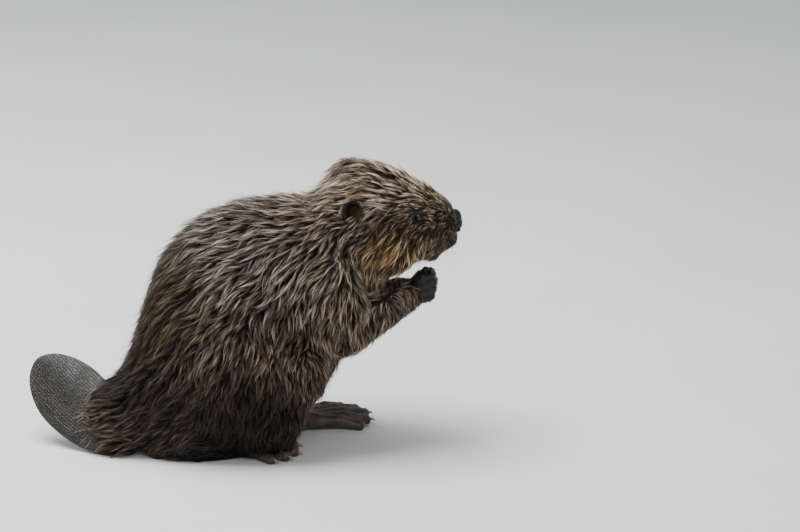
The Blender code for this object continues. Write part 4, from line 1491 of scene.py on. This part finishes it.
@dataclass(frozen=True)
class Face:
    """Lids, nostrils, lips and ear hollows, worked into the skin."""

    gaze: Point = (0.30, 1.0, 0.10)
    slit: Point = (1.0, 0.0, 0.12)
    globe: float = 0.0056
    lid_gap: float = 0.0006
    opening: Pair = (0.0059, 0.0048)
    slant: float = 0.10
    squareness: float = 1.7
    lid_rim: float = 0.0007
    lid_crease: float = 0.0009
    lid_inside: float = -0.0010
    nostril_at: Point = (0.2925, 0.0118, 0.2940)
    nostril_axes: tuple[Point, ...] = ((-0.55, 0.60, 0.45), (-0.30, -0.40, 0.85), (0.75, 0.60, 0.05))
    nostril_size: Point = (0.0052, 0.0026, 0.010)
    nostril_bend: float = 40.0
    nostril_rim: float = 0.0008
    nostril_depth: float = 0.0052
    mouth: tuple[Point, ...] = (
        (0.2900, 0.000, 0.2765),
        (0.2855, 0.009, 0.2735),
        (0.2770, 0.019, 0.2705),
        (0.2650, 0.027, 0.2670),
        (0.2510, 0.034, 0.2620),
    )
    lip_swell: float = 0.0006
    lip_press: float = 0.0026
    cleft_press: float = -0.0014
    chin_from: Pair = (0.252, 0.276)
    chin_below: Pair = (0.258, 0.274)
    chin_draw: Point = (-0.0075, 0.0, 0.0035)

    def eye_axes(self, side: Side) -> tuple[Array, Array, Array]:
        """Return outward, forward and upward directions of an eye."""
        out = unit(np.array(self.gaze) * np.array([1.0, side.value, 1.0]))
        fore = unit(np.array(self.slit) - out * (np.array(self.slit) @ out))
        up = np.cross(out, fore) * -side.value
        return out, fore, up if up[2] > 0.0 else -up

    def sculpt(self, mesh: Mesh) -> None:
        """Shape the face and mark its grooves, which the skin darkens as painted shade, and its lids."""
        points = points_of(mesh)
        groove = np.zeros(len(points))
        lid = np.zeros(len(points))
        for side in Side:
            self.eyelids(points, groove, lid, side)
        normals = normals_of(mesh)
        for side in Side:
            ear = Ear(side)
            points -= np.array(ear.turn()[0]) * ear.deepen(points, normals)[:, None]
        for side in Side:
            self.nostril(points, normals, groove, side)
        self.lips(points, normals, groove)
        drawn = ease(points[:, 0], *self.chin_from) * (1.0 - ease(points[:, 2], *self.chin_below))
        points += np.array(self.chin_draw) * drawn[:, None]
        set_attribute(mesh, "groove", groove)
        set_attribute(mesh, Bare.LID.value, lid)
        points[:, 2] = np.maximum(points[:, 2], 0.0)
        move_to(mesh, points)

    def eyelids(self, points: Array, groove: Array, lid: Array, side: Side) -> None:
        """Close the lids round the globe, with a crease above and below.

        Args:
            points: Vertex positions, moved in place.
            groove: How grooved each vertex is, raised in place.
            lid: How much each vertex belongs to a lid, raised in place.
            side: The side of the eye.
        """
        centre = np.array(side.point(EYE_CENTRE))
        out, fore, up = self.eye_axes(side)
        away = points - centre
        u, w, d = away @ fore, away @ up, away @ out
        near = (np.abs(u) < 0.017) & (np.abs(w) < 0.015) & (d > -0.012)
        half_length, half_height = self.opening
        power = self.squareness
        along = np.abs(u / half_length) ** power
        ring = (along + np.abs((w - self.slant * u) / half_height) ** power) ** (1.0 / power)
        lid_radius = self.globe + self.lid_gap
        dome = np.sqrt(np.maximum(lid_radius**2 - u * u - w * w, 0.0))
        outer = ease(ring, 1.35, 2.35)
        crease = ridge(ring, 1.75, 0.16)
        height = dome * (1.0 - outer) + d * outer
        height += self.lid_rim * ridge(ring, 1.22, 0.20) - self.lid_crease * crease
        inside = 1.0 - ease(ring, 0.92, 1.08)
        height = height * (1.0 - inside) + self.lid_inside * inside
        blend = near * (1.0 - ease(ring, 2.1, 2.9))
        target = centre + u[:, None] * fore + w[:, None] * up + height[:, None] * out
        points += (target - points) * blend[:, None]
        groove[:] = np.maximum(groove, blend * np.maximum(0.8 * crease, inside))
        lid[:] = np.maximum(lid, blend * (1.0 - ease(ring, 1.25, 1.60)))

    def nostril(self, points: Array, normals: Array, groove: Array, side: Side) -> None:
        """Press a comma-shaped nostril into the nose pad.

        Args:
            points: Vertex positions, moved in place.
            normals: The outward directions at them.
            groove: How grooved each vertex is, raised in place.
            side: The side of the nostril.
        """
        away = points - np.array(side.point(self.nostril_at))
        flip = np.array([1.0, side.value, 1.0])
        length, height, depth = (away @ unit(np.array(axis) * flip) for axis in self.nostril_axes)
        height = height + self.nostril_bend * length**2
        long, high, deep = self.nostril_size
        ring = np.sqrt((length / long) ** 2 + (height / high) ** 2 + (depth / deep) ** 2)
        hole = 1.0 - ease(ring, 0.55, 1.15)
        rim = ridge(ring, 1.45, 0.35)
        points += normals * (self.nostril_rim * rim - self.nostril_depth * hole)[:, None]
        groove[:] = np.maximum(groove, hole)

    def lips(self, points: Array, normals: Array, groove: Array) -> None:
        """Press the line of the mouth and the cleft under the nose.

        Args:
            points: Vertex positions, moved in place.
            normals: The outward directions at them.
            groove: How grooved each vertex is, raised in place.
        """
        route = np.array(self.mouth)
        folded = mirrored(points)
        best = np.full(len(points), 1.0)
        for start, end in zip(route, route[1:]):
            along = end - start
            t = np.clip(((folded - start) @ along) / (along @ along), 0.0, 1.0)
            away = (folded - start - t[:, None] * along) * np.array([0.6, 0.6, 1.0])
            best = np.minimum(best, np.linalg.norm(away, axis=1))
        line = ridge(best, 0.0, 0.0017)
        lip = ridge(best, 0.0042, 0.0020)
        points += normals * (self.lip_swell * lip - self.lip_press * line)[:, None]
        cleft = ridge(points[:, 1], 0.0, 0.0011) * ease(points[:, 0], 0.280, 0.286)
        cleft *= ease(points[:, 2], 0.2720, 0.2760) * (1.0 - ease(points[:, 2], 0.2960, 0.3010))
        points += normals * (self.cleft_press * cleft)[:, None]
        groove[:] = np.maximum(groove, np.maximum(line, 0.7 * cleft))


# ---------------------------------------------------------------- coat


@dataclass
class Ground:
    """The furred skin as arrays: where hair can root, which way is out, and its unwrap."""

    corners: Array
    triangles: Array
    normals: Array
    areas: Array
    cover: Array
    unwrap: Array
    tree: BVHTree
    most_faces: int = 60_000
    usual_length: float = 0.026
    crowding: float = 1.15
    least_cover: float = 0.35
    forearm: Pair = (0.19, 0.262)
    forearm_weight: float = 1.35
    low_height: float = 0.020
    low_weight: float = 0.7
    floor_height: float = 0.012

    @classmethod
    def of(cls, skin: Object) -> "Ground":
        """Return the ground of a skin."""
        thinned = skin.copy()
        thinned.data = skin.data.copy()
        bpy.context.scene.collection.objects.link(thinned)
        decimate = thinned.modifiers.new("thin", "DECIMATE")
        decimate.ratio = min(1.0, cls.most_faces / len(thinned.data.polygons))
        settle(thinned)
        cls.unwrap_flat(thinned)
        mesh = thinned.data
        mesh.calc_loop_triangles()
        triangles = read(mesh.loop_triangles, "vertices", 3, np.int32)
        loops = read(mesh.loop_triangles, "loops", 3, np.int32)
        places = read(mesh.uv_layers["OFBake"].data, "uv", 2).astype(float)
        areas = read(mesh.loop_triangles, "area").astype(float)
        bare = np.maximum.reduce([get_attribute(mesh, kind.value) for kind in Bare])
        corners = points_of(mesh)
        tree = BVHTree.FromPolygons(corners.tolist(), triangles.tolist())
        normals = normals_of(mesh)
        ground = cls(corners, triangles, normals, areas, 1.0 - bare, places[loops], tree)
        discard(thinned)
        return ground

    @staticmethod
    def unwrap_flat(obj: Object) -> None:
        """Give a mesh an unwrap of its own shape."""
        obj.data.uv_layers.new(name="OFBake")
        bpy.ops.object.select_all(action="DESELECT")
        obj.select_set(True)
        bpy.context.view_layer.objects.active = obj
        bpy.ops.object.mode_set(mode="EDIT")
        bpy.ops.mesh.select_all(action="SELECT")
        bpy.ops.uv.smart_project(angle_limit=math.radians(66.0), island_margin=0.003)
        bpy.ops.object.mode_set(mode="OBJECT")

    def scatter(self, count: int, comb: Comb, rng: Random) -> tuple[Array, ...]:
        """Return random roots, closer together where the coat is short.

        Args:
            count: How many roots are wanted.
            comb: The lie of the coat.
            rng: Source of the random numbers.

        Returns:
            Points, normals, places on the unwrap and lengths of the coat.
        """
        middles = self.corners[self.triangles].mean(1)
        outward = unit(self.normals[self.triangles].mean(1))
        _, lengths, _ = comb.lie(middles, outward)
        cover = self.cover[self.triangles].min(1)
        crowd = (self.usual_length / lengths) ** self.crowding
        weight = self.areas * crowd * (cover > self.least_cover)
        forearm = (middles[:, 0] > self.forearm[0]) & (middles[:, 2] < self.forearm[1])
        weight[forearm] *= self.forearm_weight
        weight[middles[:, 2] < self.low_height] *= self.low_weight
        under = (middles[:, 2] < self.floor_height) & (outward[:, 2] < -0.5)
        weight[under] = 0.0
        chosen = rng.choice(len(weight), size=count, p=weight / weight.sum())
        first, second = rng.random(count), rng.random(count)
        fold = first + second > 1.0
        first[fold], second[fold] = 1.0 - first[fold], 1.0 - second[fold]
        shares = np.stack([1.0 - first - second, first, second], 1)
        at = self.triangles[chosen]
        points = (self.corners[at] * shares[:, :, None]).sum(1)
        normals = unit((self.normals[at] * shares[:, :, None]).sum(1))
        unwrap = (self.unwrap[chosen] * shares[:, :, None]).sum(1)
        return points, normals, unwrap, lengths[chosen]

    def drop(self, points: Array) -> tuple[Array, Array]:
        """Return the nearest places on the skin and the outward directions there."""
        feet = np.empty_like(points)
        faces = np.empty(len(points), int)
        for index, point in enumerate(points):
            feet[index], _, faces[index], _ = self.tree.find_nearest(Vector(point))
        return feet, unit(self.normals[self.triangles[faces]].mean(1))


@dataclass(frozen=True)
class Region:
    """A stretch of coat that is one piece on each side of the body."""

    name: str
    centre: Point
    slot: str = "fur"
    rings: int = 3


REGIONS = (
    Region("face", (0.268, 0.03, 0.300), "cheek_fur", 2),
    Region("cheek", (0.222, 0.05, 0.285), "cheek_fur", 2),
    Region("crown", (0.205, 0.02, 0.350), "cheek_fur", 2),
    Region("nape", (0.150, 0.04, 0.340)),
    Region("throat", (0.185, 0.03, 0.245)),
    Region("arm", (0.175, 0.06, 0.180), "fur", 2),
    Region("shoulder", (0.090, 0.07, 0.260)),
    Region("back", (0.000, 0.05, 0.300)),
    Region("flank", (0.000, 0.10, 0.200)),
    Region("haunch", (0.040, 0.12, 0.090)),
    Region("rump", (-0.110, 0.06, 0.120)),
    Region("tail_root", (-0.140, 0.03, 0.040)),
    Region("belly", (0.080, 0.00, 0.060), "fur", 2),
)


@dataclass
class Coat:
    """The coat, as pointed wet locks made of closed, tapered strands."""

    comb: Comb
    ground: Ground
    locks: int = 13_500
    strands: int = 101_000
    strays: int = 5_000
    guide_steps: int = 6
    samples: int = 6
    gather: float = 0.96
    loose_gather: float = 0.45
    loose_share: float = 0.10
    length_range: Pair = (0.80, 1.20)
    rise_range: Pair = (0.55, 1.15)
    # shine: how strongly a lock is painted with highlights; such locks are also longer and lift higher
    shine_range: Pair = (0.58, 0.90)
    shine_length: float = 0.22
    shine_rise: float = 0.34
    yaw: float = 0.17
    bend: float = 0.42
    flick: float = 0.120
    strand_range: Pair = (0.62, 1.0)
    width_range: Pair = (0.80, 1.25)
    root_depth: float = 0.0005
    # share of single strands painted bright as glints
    glint_share: float = 0.08
    stray_lift: Pair = (0.10, 0.48)
    stray_width: float = 0.00042
    stray_tone: Pair = (0.40, 0.90)
    shortest: float = 0.3  # strands cut down to less than this share are left out
    patch: float = 0.003
    seed: int = 20

    def guides(self, shine: Array, rng: Random) -> tuple[Array, ...]:
        """Return the middle line of each lock.

        Args:
            shine: How strongly each lock is painted with highlights; such locks are longer and lie on top.
            rng: Source of the random numbers.

        Returns:
            Lines as (lock, step, xyz), the outward directions along them, and each lock's length and
            place on the unwrap.
        """
        count = len(shine)
        roots, normals, unwrap, base = self.ground.scatter(count, self.comb, rng)
        lengths = base * (rng.uniform(*self.length_range, count) + self.shine_length * shine)
        yaw = rng.normal(0.0, self.yaw, count)
        bend = rng.normal(0.0, self.bend, count)
        rise = rng.uniform(*self.rise_range, count) + self.shine_rise * shine
        flick = np.clip(rng.normal(-0.15, 0.9, count), 0.0, 2.4) * self.flick * lengths
        lines = np.empty((count, self.guide_steps + 1, 3))
        outward = np.empty_like(lines)
        _, _, depths = self.comb.lie(roots, normals)
        foot, normal = roots, normals
        for step in range(self.guide_steps + 1):
            share = step / self.guide_steps
            lift = depths * rise * (0.05 + 0.95 * share**0.62) + flick * share**2.5
            lines[:, step] = foot + normal * lift[:, None]
            outward[:, step] = normal
            flow, _, _ = self.comb.lie(foot, normal)
            turn = (yaw + bend * (share - 0.4))[:, None]
            flow = flow * np.cos(turn) + np.cross(normal, flow) * np.sin(turn)
            foot, normal = self.ground.drop(foot + flow * (lengths / self.guide_steps)[:, None])
            normal = unit(normal + outward[:, step])
        return lines, outward, lengths, unwrap

    def along(self, lines: Array, chosen: Array, share: Array) -> Array:
        """Return points on some of the lines.

        Args:
            lines: Lines as (lock, step, xyz).
            chosen: The number of a line for each point.
            share: How far along its line each point lies, from 0 to 1.

        Returns:
            The points.
        """
        at = np.clip(share, 0.0, 1.0) * self.guide_steps
        low = np.minimum(at.astype(int), self.guide_steps - 1)
        part = (at - low)[:, None]
        return lines[chosen, low] * (1.0 - part) + lines[chosen, low + 1] * part

    def strands_of(self, rng: Random) -> dict[str, Array]:
        """Return the strands of all locks.

        Args:
            rng: Source of the random numbers.

        Returns:
            Every strand's line, outward directions, width, tone with its painted glints, and place on the
            unwrap.
        """
        shine = ease(rng.random(self.locks), *self.shine_range)
        lines, outward, _, _ = self.guides(shine, rng)
        tree = kdtree.KDTree(self.locks)
        for index, root in enumerate(lines[:, 0]):
            tree.insert(root, index)
        tree.balance()
        points, _, unwrap, base = self.ground.scatter(self.strands, self.comb, rng)
        lock = np.array([tree.find(point)[1] for point in points])
        offset = points - lines[lock, 0]
        spread = np.linalg.norm(offset, axis=1)
        reach = rng.uniform(*self.strand_range, self.strands)
        loose = rng.random(self.strands) < self.loose_share
        gather = np.where(loose, self.loose_gather, self.gather)
        gather = gather * np.clip(1.6 - spread / (0.35 * base), 0.35, 1.0)
        path = np.empty((self.strands, self.samples + 1, 3))
        facing = np.empty_like(path)
        stray = base * (0.030 - 0.012 * shine[lock])
        wander = rng.normal(0.0, 1.0, (self.strands, 3)) * stray[:, None]
        for index, share in enumerate(np.linspace(0.0, 1.0, self.samples + 1)):
            open_still = 1.0 - gather * share**0.80
            path[:, index] = self.along(lines, lock, share * reach) + offset * open_still[:, None]
            path[:, index] += wander * share
            facing[:, index] = self.along(outward, lock, share * reach)
        path[:, 0] -= facing[:, 0] * self.root_depth
        tone_and_glint = self.tones_and_glints(shine, lock, spread / (0.13 * base), rng)
        path, kept = self.clear_of_ears(path)
        # strands painted bright as glints are narrower, the dark ones wider
        breadth = (0.00026 + 0.0130 * base) * (1.30 - 0.58 * np.clip(tone_and_glint * 1.5, 0.0, 1.0))
        made = {
            "path": path,
            "facing": unit(facing),
            "width": breadth * rng.uniform(*self.width_range, self.strands),
            "tone_and_glint": tone_and_glint,
            "unwrap": unwrap,
        }
        return {key: values[kept] for key, values in made.items()}

    def tones_and_glints(self, shine: Array, lock: Array, off: Array, rng: Random) -> Array:
        """Return each strand's tone: random paleness with painted highlights along the spines of shining
        locks and on single glinting strands.

        Args:
            shine: How strongly each lock is painted with highlights.
            lock: The lock of each strand.
            off: How far each strand roots from the middle of its lock, 1 where the painted highlight along
                the spine ends.
            rng: Source of the random numbers.

        Returns:
            A number from 0 to 1 for each strand.
        """
        lock_tone = rng.random(self.locks)[lock]
        spine = np.clip(1.0 - off, 0.0, 1.0)
        glinting = (rng.random(self.strands) < self.glint_share).astype(float)
        # random tone of lock and strand, plus single strands painted bright as glints
        tone_and_glint = 0.02 + 0.15 * lock_tone + 0.12 * rng.random(self.strands) + 0.34 * glinting
        # painted highlight along the spine of each shining lock
        tone_and_glint += shine[lock] * (0.17 + 0.68 * spine)
        return np.clip(tone_and_glint, 0.0, 1.0)

    def clear_of_ears(self, path: Array) -> tuple[Array, Array]:
        """Shorten the strands that would hide the dish of an ear.

        Args:
            path: The strands' lines.

        Returns:
            The lines, and which of them are still long enough to keep.
        """
        steps = np.arange(1, self.samples + 1)
        reach = np.ones(len(path))
        for side in Side:
            over = Ear(side).covers(path[:, 1:].reshape(-1, 3)).reshape(len(path), -1)
            first = np.where(over, steps[None], self.samples + 1).min(1)
            reach = np.minimum(reach, np.where(first > self.samples, 1.0, (first - 1) / self.samples))
        at = reach[:, None] * np.arange(self.samples + 1)[None]
        low = np.minimum(at.astype(int), self.samples - 1)
        part = (at - low)[:, :, None]
        rows = np.arange(len(path))[:, None]
        shortened = path[rows, low] * (1.0 - part) + path[rows, low + 1] * part
        return shortened, reach > self.shortest

    def stray_hairs(self, rng: Random) -> dict[str, Array]:
        """Return single hairs that stand off from the coat.

        Args:
            rng: Source of the random numbers.

        Returns:
            The same marks as for the strands of the locks.
        """
        lines, outward, lengths, unwrap = self.guides(np.zeros(self.strays), rng)
        rings = np.linspace(0.0, 1.0, self.samples + 1)
        every = np.arange(self.strays)
        lift = rng.uniform(*self.stray_lift, self.strays) * lengths
        shares = [np.full(self.strays, share) for share in rings]
        path = np.stack([self.along(lines, every, share) for share in shares], 1)
        facing = np.stack([self.along(outward, every, share) for share in shares], 1)
        path += facing * (lift[:, None] * rings**1.6)[:, :, None]
        path, kept = self.clear_of_ears(path)
        made = {
            "path": path,
            "facing": unit(facing),
            "width": np.full(self.strays, self.stray_width),
            "tone_and_glint": rng.uniform(*self.stray_tone, self.strays),
            "unwrap": unwrap,
        }
        return {key: values[kept] for key, values in made.items()}

    def make(self) -> list[tuple[Object, str]]:
        """Return the pieces of the coat, each with its material slot."""
        rng = np.random.default_rng(self.seed)
        sets = [self.strands_of(rng), self.stray_hairs(rng)]
        merged = {key: np.concatenate([part[key] for part in sets]) for key in sets[0]}
        path = merged["path"]
        path[:, :, 2] = np.maximum(path[:, :, 2], FLOOR_CLEARANCE)
        roots = mirrored(path[:, 0])
        centres = np.array([region.centre for region in REGIONS])
        region_of = ((roots[:, None, :] - centres[None]) ** 2).sum(2).argmin(1)
        pieces = []
        for index, region in enumerate(REGIONS):
            for side in Side:
                on_side = path[:, 0, 1] * side.value >= 0.0
                chosen = np.nonzero((region_of == index) & on_side)[0]
                name = f"coat_{region.name}_{side.word}"
                part = {key: values[chosen] for key, values in merged.items()}
                pieces.append((self.mesh_of(name, part, region.rings), region.slot))
        return pieces

    def mesh_of(self, name: str, strands: dict[str, Array], rings: int) -> Object:
        """Return strands as one object of closed three-sided prisms that taper to a point.

        Args:
            name: The object's name.
            strands: The strands' lines and marks.
            rings: How many cross-sections a strand has below its tip.

        Returns:
            The object.
        """
        stride = self.samples // rings
        path, facing = strands["path"][:, ::stride], strands["facing"][:, ::stride]
        count = len(path)
        tangent = np.empty_like(path)
        tangent[:, 1:-1] = path[:, 2:] - path[:, :-2]
        tangent[:, 0] = path[:, 1] - path[:, 0]
        tangent[:, -1] = path[:, -1] - path[:, -2]
        tangent = unit(tangent)
        across = unit(np.cross(tangent, facing))
        above = np.cross(across, tangent)
        profile = np.array([0.80, 1.00, 0.66] if rings == 3 else [0.85, 0.90])
        half = 0.5 * strands["width"][:, None, None] * profile[None, :, None]
        body, side, rise = path[:, :rings], across[:, :rings], above[:, :rings]
        corners = np.stack([body - side * half, body + side * half, body + rise * half * 1.1], 2)
        vertices = np.concatenate([corners.reshape(count, rings * 3, 3), path[:, -1:]], 1)
        per = rings * 3 + 1
        faces = self.faces_of(rings)
        sizes = np.array([len(face) for face in faces])
        pattern = np.concatenate([np.array(face) for face in faces])
        loops = (pattern[None, :] + (np.arange(count) * per)[:, None]).ravel()
        starts = np.concatenate([[0], np.cumsum(np.tile(sizes, count))[:-1]])
        mesh = bpy.data.meshes.new(name)
        mesh.vertices.add(count * per)
        mesh.vertices.foreach_set("co", vertices.astype(np.float32).ravel())
        mesh.loops.add(len(loops))
        mesh.loops.foreach_set("vertex_index", loops.astype(np.int32))
        mesh.polygons.add(len(starts))
        mesh.polygons.foreach_set("loop_start", starts.astype(np.int32))
        mesh.update(calc_edges=True)
        shares = np.concatenate([np.repeat(np.arange(rings) / rings, 3), [1.0]])
        breadth = np.concatenate([np.tile([0.0, 1.0, 0.5], rings), [0.5]])
        slant = np.concatenate([np.tile([0.0, 0.0, 0.12], rings), [0.0]])
        set_attribute(mesh, "reach", np.tile(shares, count))
        set_attribute(mesh, "tone_and_glint", np.repeat(strands["tone_and_glint"], per))
        spot = np.stack([breadth - 0.5, shares + slant - 0.5], 1) * self.patch
        places = (strands["unwrap"][:, None, :] + spot[None]).reshape(-1, 2)
        layer = mesh.uv_layers.new(name="OFBake")
        layer.data.foreach_set("uv", places[loops].astype(np.float32).ravel())
        mesh.shade_smooth()
        return linked(name, mesh)

    @staticmethod
    def faces_of(rings: int) -> list[tuple[int, ...]]:
        """Return the faces of one strand by the numbers of its corners, its tip last."""
        pairs = ((0, 1), (1, 2), (2, 0))
        faces = [(0, 1, 2)]
        for low in range(0, (rings - 1) * 3, 3):
            high = low + 3
            faces += [(low + far, low + near, high + near, high + far) for near, far in pairs]
        last, tip = (rings - 1) * 3, rings * 3
        return faces + [(last + far, last + near, tip) for near, far in pairs]


# ---------------------------------------------------------------- eyes, claws, whiskers


@dataclass(frozen=True)
class Eye:
    """A small dark wet eye with a slightly raised cornea."""

    side: Side
    radius: float = 0.0056
    cornea: float = 0.0004

    def make(self) -> Object:
        """Return the globe."""
        out, _, _ = Face().eye_axes(self.side)
        centre = self.side.point(EYE_CENTRE)
        bm = bmesh.new()
        bmesh.ops.create_uvsphere(bm, u_segments=48, v_segments=32, radius=self.radius)
        axis = Vector(out)
        for vertex in bm.verts:
            ahead = max(vertex.co.normalized().dot(axis), 0.0)
            vertex.co += axis * (self.cornea * ahead**6)
            vertex.co += centre
        globe = to_object(f"globe_{self.side.word}", bm)
        globe.data.shade_smooth()
        return globe


@dataclass(frozen=True)
class ClawSet:
    """The claws of one hand or foot."""

    name: str
    places: list[tuple[Vector, Vector]]
    length: float
    radius: float
    steps: int = 9
    sides: int = 12
    hook: float = 0.24
    width_share: float = 0.85
    keel_share: float = 0.6
    taper: float = 0.86
    lowest: float = 0.0003

    def make(self) -> Object:
        """Return the claws as one object of closed, hooked cones."""
        bm = bmesh.new()
        for root, along in self.places:
            claw = bmesh.new()
            across, above = sideways(along)
            rings = []
            for step in range(self.steps + 1):
                t = step / self.steps
                drop = above * (self.length * self.hook * t * t)
                centre = root + along * (self.length * t) - drop
                size = self.radius * (1.0 - self.taper * t**1.7)
                high = (size, size * self.keel_share)
                rings.append(oval(centre, (across, above), self.width_share * size, high, self.sides))
            add_lofted(claw, rings)
            pour(claw, bm)
        for vertex in bm.verts:
            vertex.co.z = max(vertex.co.z, self.lowest)
        made = to_object(self.name, bm)
        made.data.shade_smooth()
        return made


@dataclass
class Whiskers:
    """Thin whiskers in four rows on both sides of the muzzle."""

    ground: Ground
    each_side: int = 14
    rows: int = 4
    first: Point = (0.281, 0.025, 0.2940)
    place_pitch: float = 0.0050
    row_pitch: float = 0.0048
    root_depth: float = 0.0008
    shortest: float = 0.024
    longest: float = 0.060
    length_step: float = 0.013
    radius: float = 0.00018
    taper: float = 0.85
    steps: int = 10
    sides: int = 5
    seed: int = 7

    def make(self) -> Object:
        """Return all whiskers as one object."""
        rng = np.random.default_rng(self.seed)
        bm = bmesh.new()
        for side in Side:
            for index in range(self.each_side):
                row, place = index % self.rows, index // self.rows
                x, y, z = self.first
                aim = side.point((x - self.place_pitch * place, y, z - self.row_pitch * row))
                aim += Vector((rng.uniform(-0.001, 0.001), 0.0, rng.uniform(-0.001, 0.001)))
                feet, outward = self.ground.drop(np.array([aim]))
                root = Vector(feet[0]) - Vector(outward[0]) * self.root_depth
                length = self.shortest + self.length_step * place + rng.uniform(-0.005, 0.007)
                lean = Vector((0.30 - 0.20 * place + rng.uniform(-0.1, 0.1), 0.0, -0.30 - 0.10 * row))
                heading = (Vector(outward[0]) * 1.05 + lean).normalized()
                self.add(bm, root, heading, min(length, self.longest), rng.uniform(0.15, 0.4))
        made = to_object("whiskers", bm)
        made.data.shade_smooth()
        return made

    def add(self, bm: BMesh, root: Vector, heading: Vector, length: float, droop: float) -> None:
        """Add one whisker that bends down under its own weight.

        Args:
            bm: The mesh under construction.
            root: Where it leaves the skin.
            heading: The way it leaves the skin.
            length: Its length.
            droop: How far its tip hangs, as a share of its length.
        """
        part = bmesh.new()
        axes = sideways(heading)
        rings = []
        for step in range(self.steps + 1):
            t = step / self.steps
            centre = root + heading * (length * t) - Vector((0.0, 0.0, length * droop * t * t))
            size = self.radius * (1.0 - self.taper * t)
            rings.append(oval(centre, axes, size, (size, size), self.sides))
        add_lofted(part, rings)
        pour(part, bm)


# ---------------------------------------------------------------- studio


@dataclass(frozen=True)
class Lamp:
    """A square soft lamp that faces the animal."""

    name: str
    place: Point
    size: float
    power: float
    colour: Point
    aim: Point = (0.05, 0.0, 0.15)

    def hang(self, shift: Vector) -> None:
        """Put the lamp in its place, moved onto the frame."""
        data = bpy.data.lights.new(self.name, "AREA")
        data.size = self.size
        data.energy = self.power
        data.color = self.colour
        lamp = linked(self.name, data)
        lamp.location = Vector(self.place) + shift
        heading = Vector(self.aim) - Vector(self.place)
        lamp.rotation_euler = heading.to_track_quat("-Z", "Y").to_euler()


LAMPS = (
    Lamp("overhead", (-0.6, 0.0, 2.4), 1.6, 118.0, (0.97, 0.98, 1.0)),
    Lamp("front", (0.9, -2.6, 2.0), 1.4, 36.0, (1.0, 0.97, 0.93)),
    Lamp("behind", (-1.6, 1.8, 1.5), 1.2, 26.0, (0.92, 0.96, 1.0)),
)


@dataclass(frozen=True)
class Studio:
    """Pale floor, soft light and the camera."""

    floor_size: float = 14.0
    sky: tuple[float, ...] = (0.86, 0.92, 1.0, 1.0)
    sky_strength: float = 0.47
    aim: Point = (0.2145, 0.0, 0.2379)
    elevation: float = math.radians(17.0)
    distance: float = 5.0
    lens: float = 173.0
    sensor: float = 36.0
    far_end: float = 60.0

    def build(self, shift: Vector) -> None:
        """Set up floor, lamps, world and camera round the animal."""
        bm = bmesh.new()
        bmesh.ops.create_grid(bm, x_segments=1, y_segments=1, size=self.floor_size)
        floor = to_object("floor", bm)
        floor.data.materials.append(FLOOR.make())
        world = bpy.data.worlds.new("studio")
        world.use_nodes = True
        nodes = Nodes(world.node_tree)
        sky = nodes.add("ShaderNodeBackground", {"Color": self.sky, "Strength": self.sky_strength})
        nodes.add("ShaderNodeOutputWorld", {0: sky.outputs[0]})
        bpy.context.scene.world = world
        for lamp in LAMPS:
            lamp.hang(shift)
        target = Vector(self.aim) + shift
        back = Vector((0.0, -math.cos(self.elevation), math.sin(self.elevation)))
        data = bpy.data.cameras.new("camera")
        data.lens = self.lens
        data.sensor_width = self.sensor
        data.clip_end = self.far_end
        camera = linked("camera", data)
        camera.location = target + back * self.distance
        camera.rotation_euler = (-back).to_track_quat("-Z", "Y").to_euler()
        bpy.context.scene.camera = camera


# ---------------------------------------------------------------- assembly


@dataclass
class Beaver:
    """Puts the finished pieces onto the frame."""

    frame: dict
    shift: Vector

    def fit(self, obj: Object, material: Material, slot: str, *nodes: str) -> None:
        """Move a piece onto the frame and dress it.

        Args:
            obj: The piece, in local positions.
            material: Its finish.
            slot: The record's material slot; not used.
            *nodes: The solids that it stands for.
        """
        obj.data.transform(Matrix.Translation(self.shift))
        obj.data.materials.clear()
        obj.data.materials.append(material)
        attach(obj, BODY)
        if nodes:
            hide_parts(*nodes)
        log.info("%s: %d faces", obj.name, len(obj.data.polygons))

    def build(self) -> None:
        """Build and fit every piece in order."""
        comb = Comb(COMB)
        markings = markings_group(self.shift)
        maker = Skin(self.frame, self.shift, comb)
        skin = maker.make()
        ground = Ground.of(skin)
        coat = Coat(comb, ground).make()
        whiskers = Whiskers(ground).make()
        self.fit(skin, SkinFinish().make(markings), "fur", *maker.flesh, *maker.bare)
        coat_material = CoatFinish().make(markings)
        for piece, slot in coat:
            self.fit(piece, coat_material, slot)
        self.fit(whiskers, WHISKER.make(), "cheek_fur")
        eye, horn, fore_horn = WET_EYE.make(), CLAW_HORN.make(), FORE_CLAW_HORN.make()
        for side in Side:
            self.fit(Eye(side).make(), eye, "eye_gloss", f"eye_{side.word}")
            paws = (("hand", "fore", Hand(side), fore_horn), ("foot", "hind", Foot(side), horn))
            for word, end, paw, material in paws:
                name = f"claws_{word}_{side.word}"
                claws = ClawSet(name, paw.claws(), paw.claw_length, paw.claw_radius)
                nodes = [f"{end}_claw_{side.word}_{number}" for number in range(1, 6)]
                self.fit(claws.make(), material, "claw_horn", *nodes)


def main() -> None:
    """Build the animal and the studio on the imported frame."""
    logging.basicConfig(level=logging.INFO, format="%(name)s %(message)s")
    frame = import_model()
    low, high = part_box("eye_left")
    shift = (low + high) / 2.0 - EYE_CENTRE
    Beaver(frame, shift).build()
    Studio().build(shift)


if __name__ == "__main__":
    main()
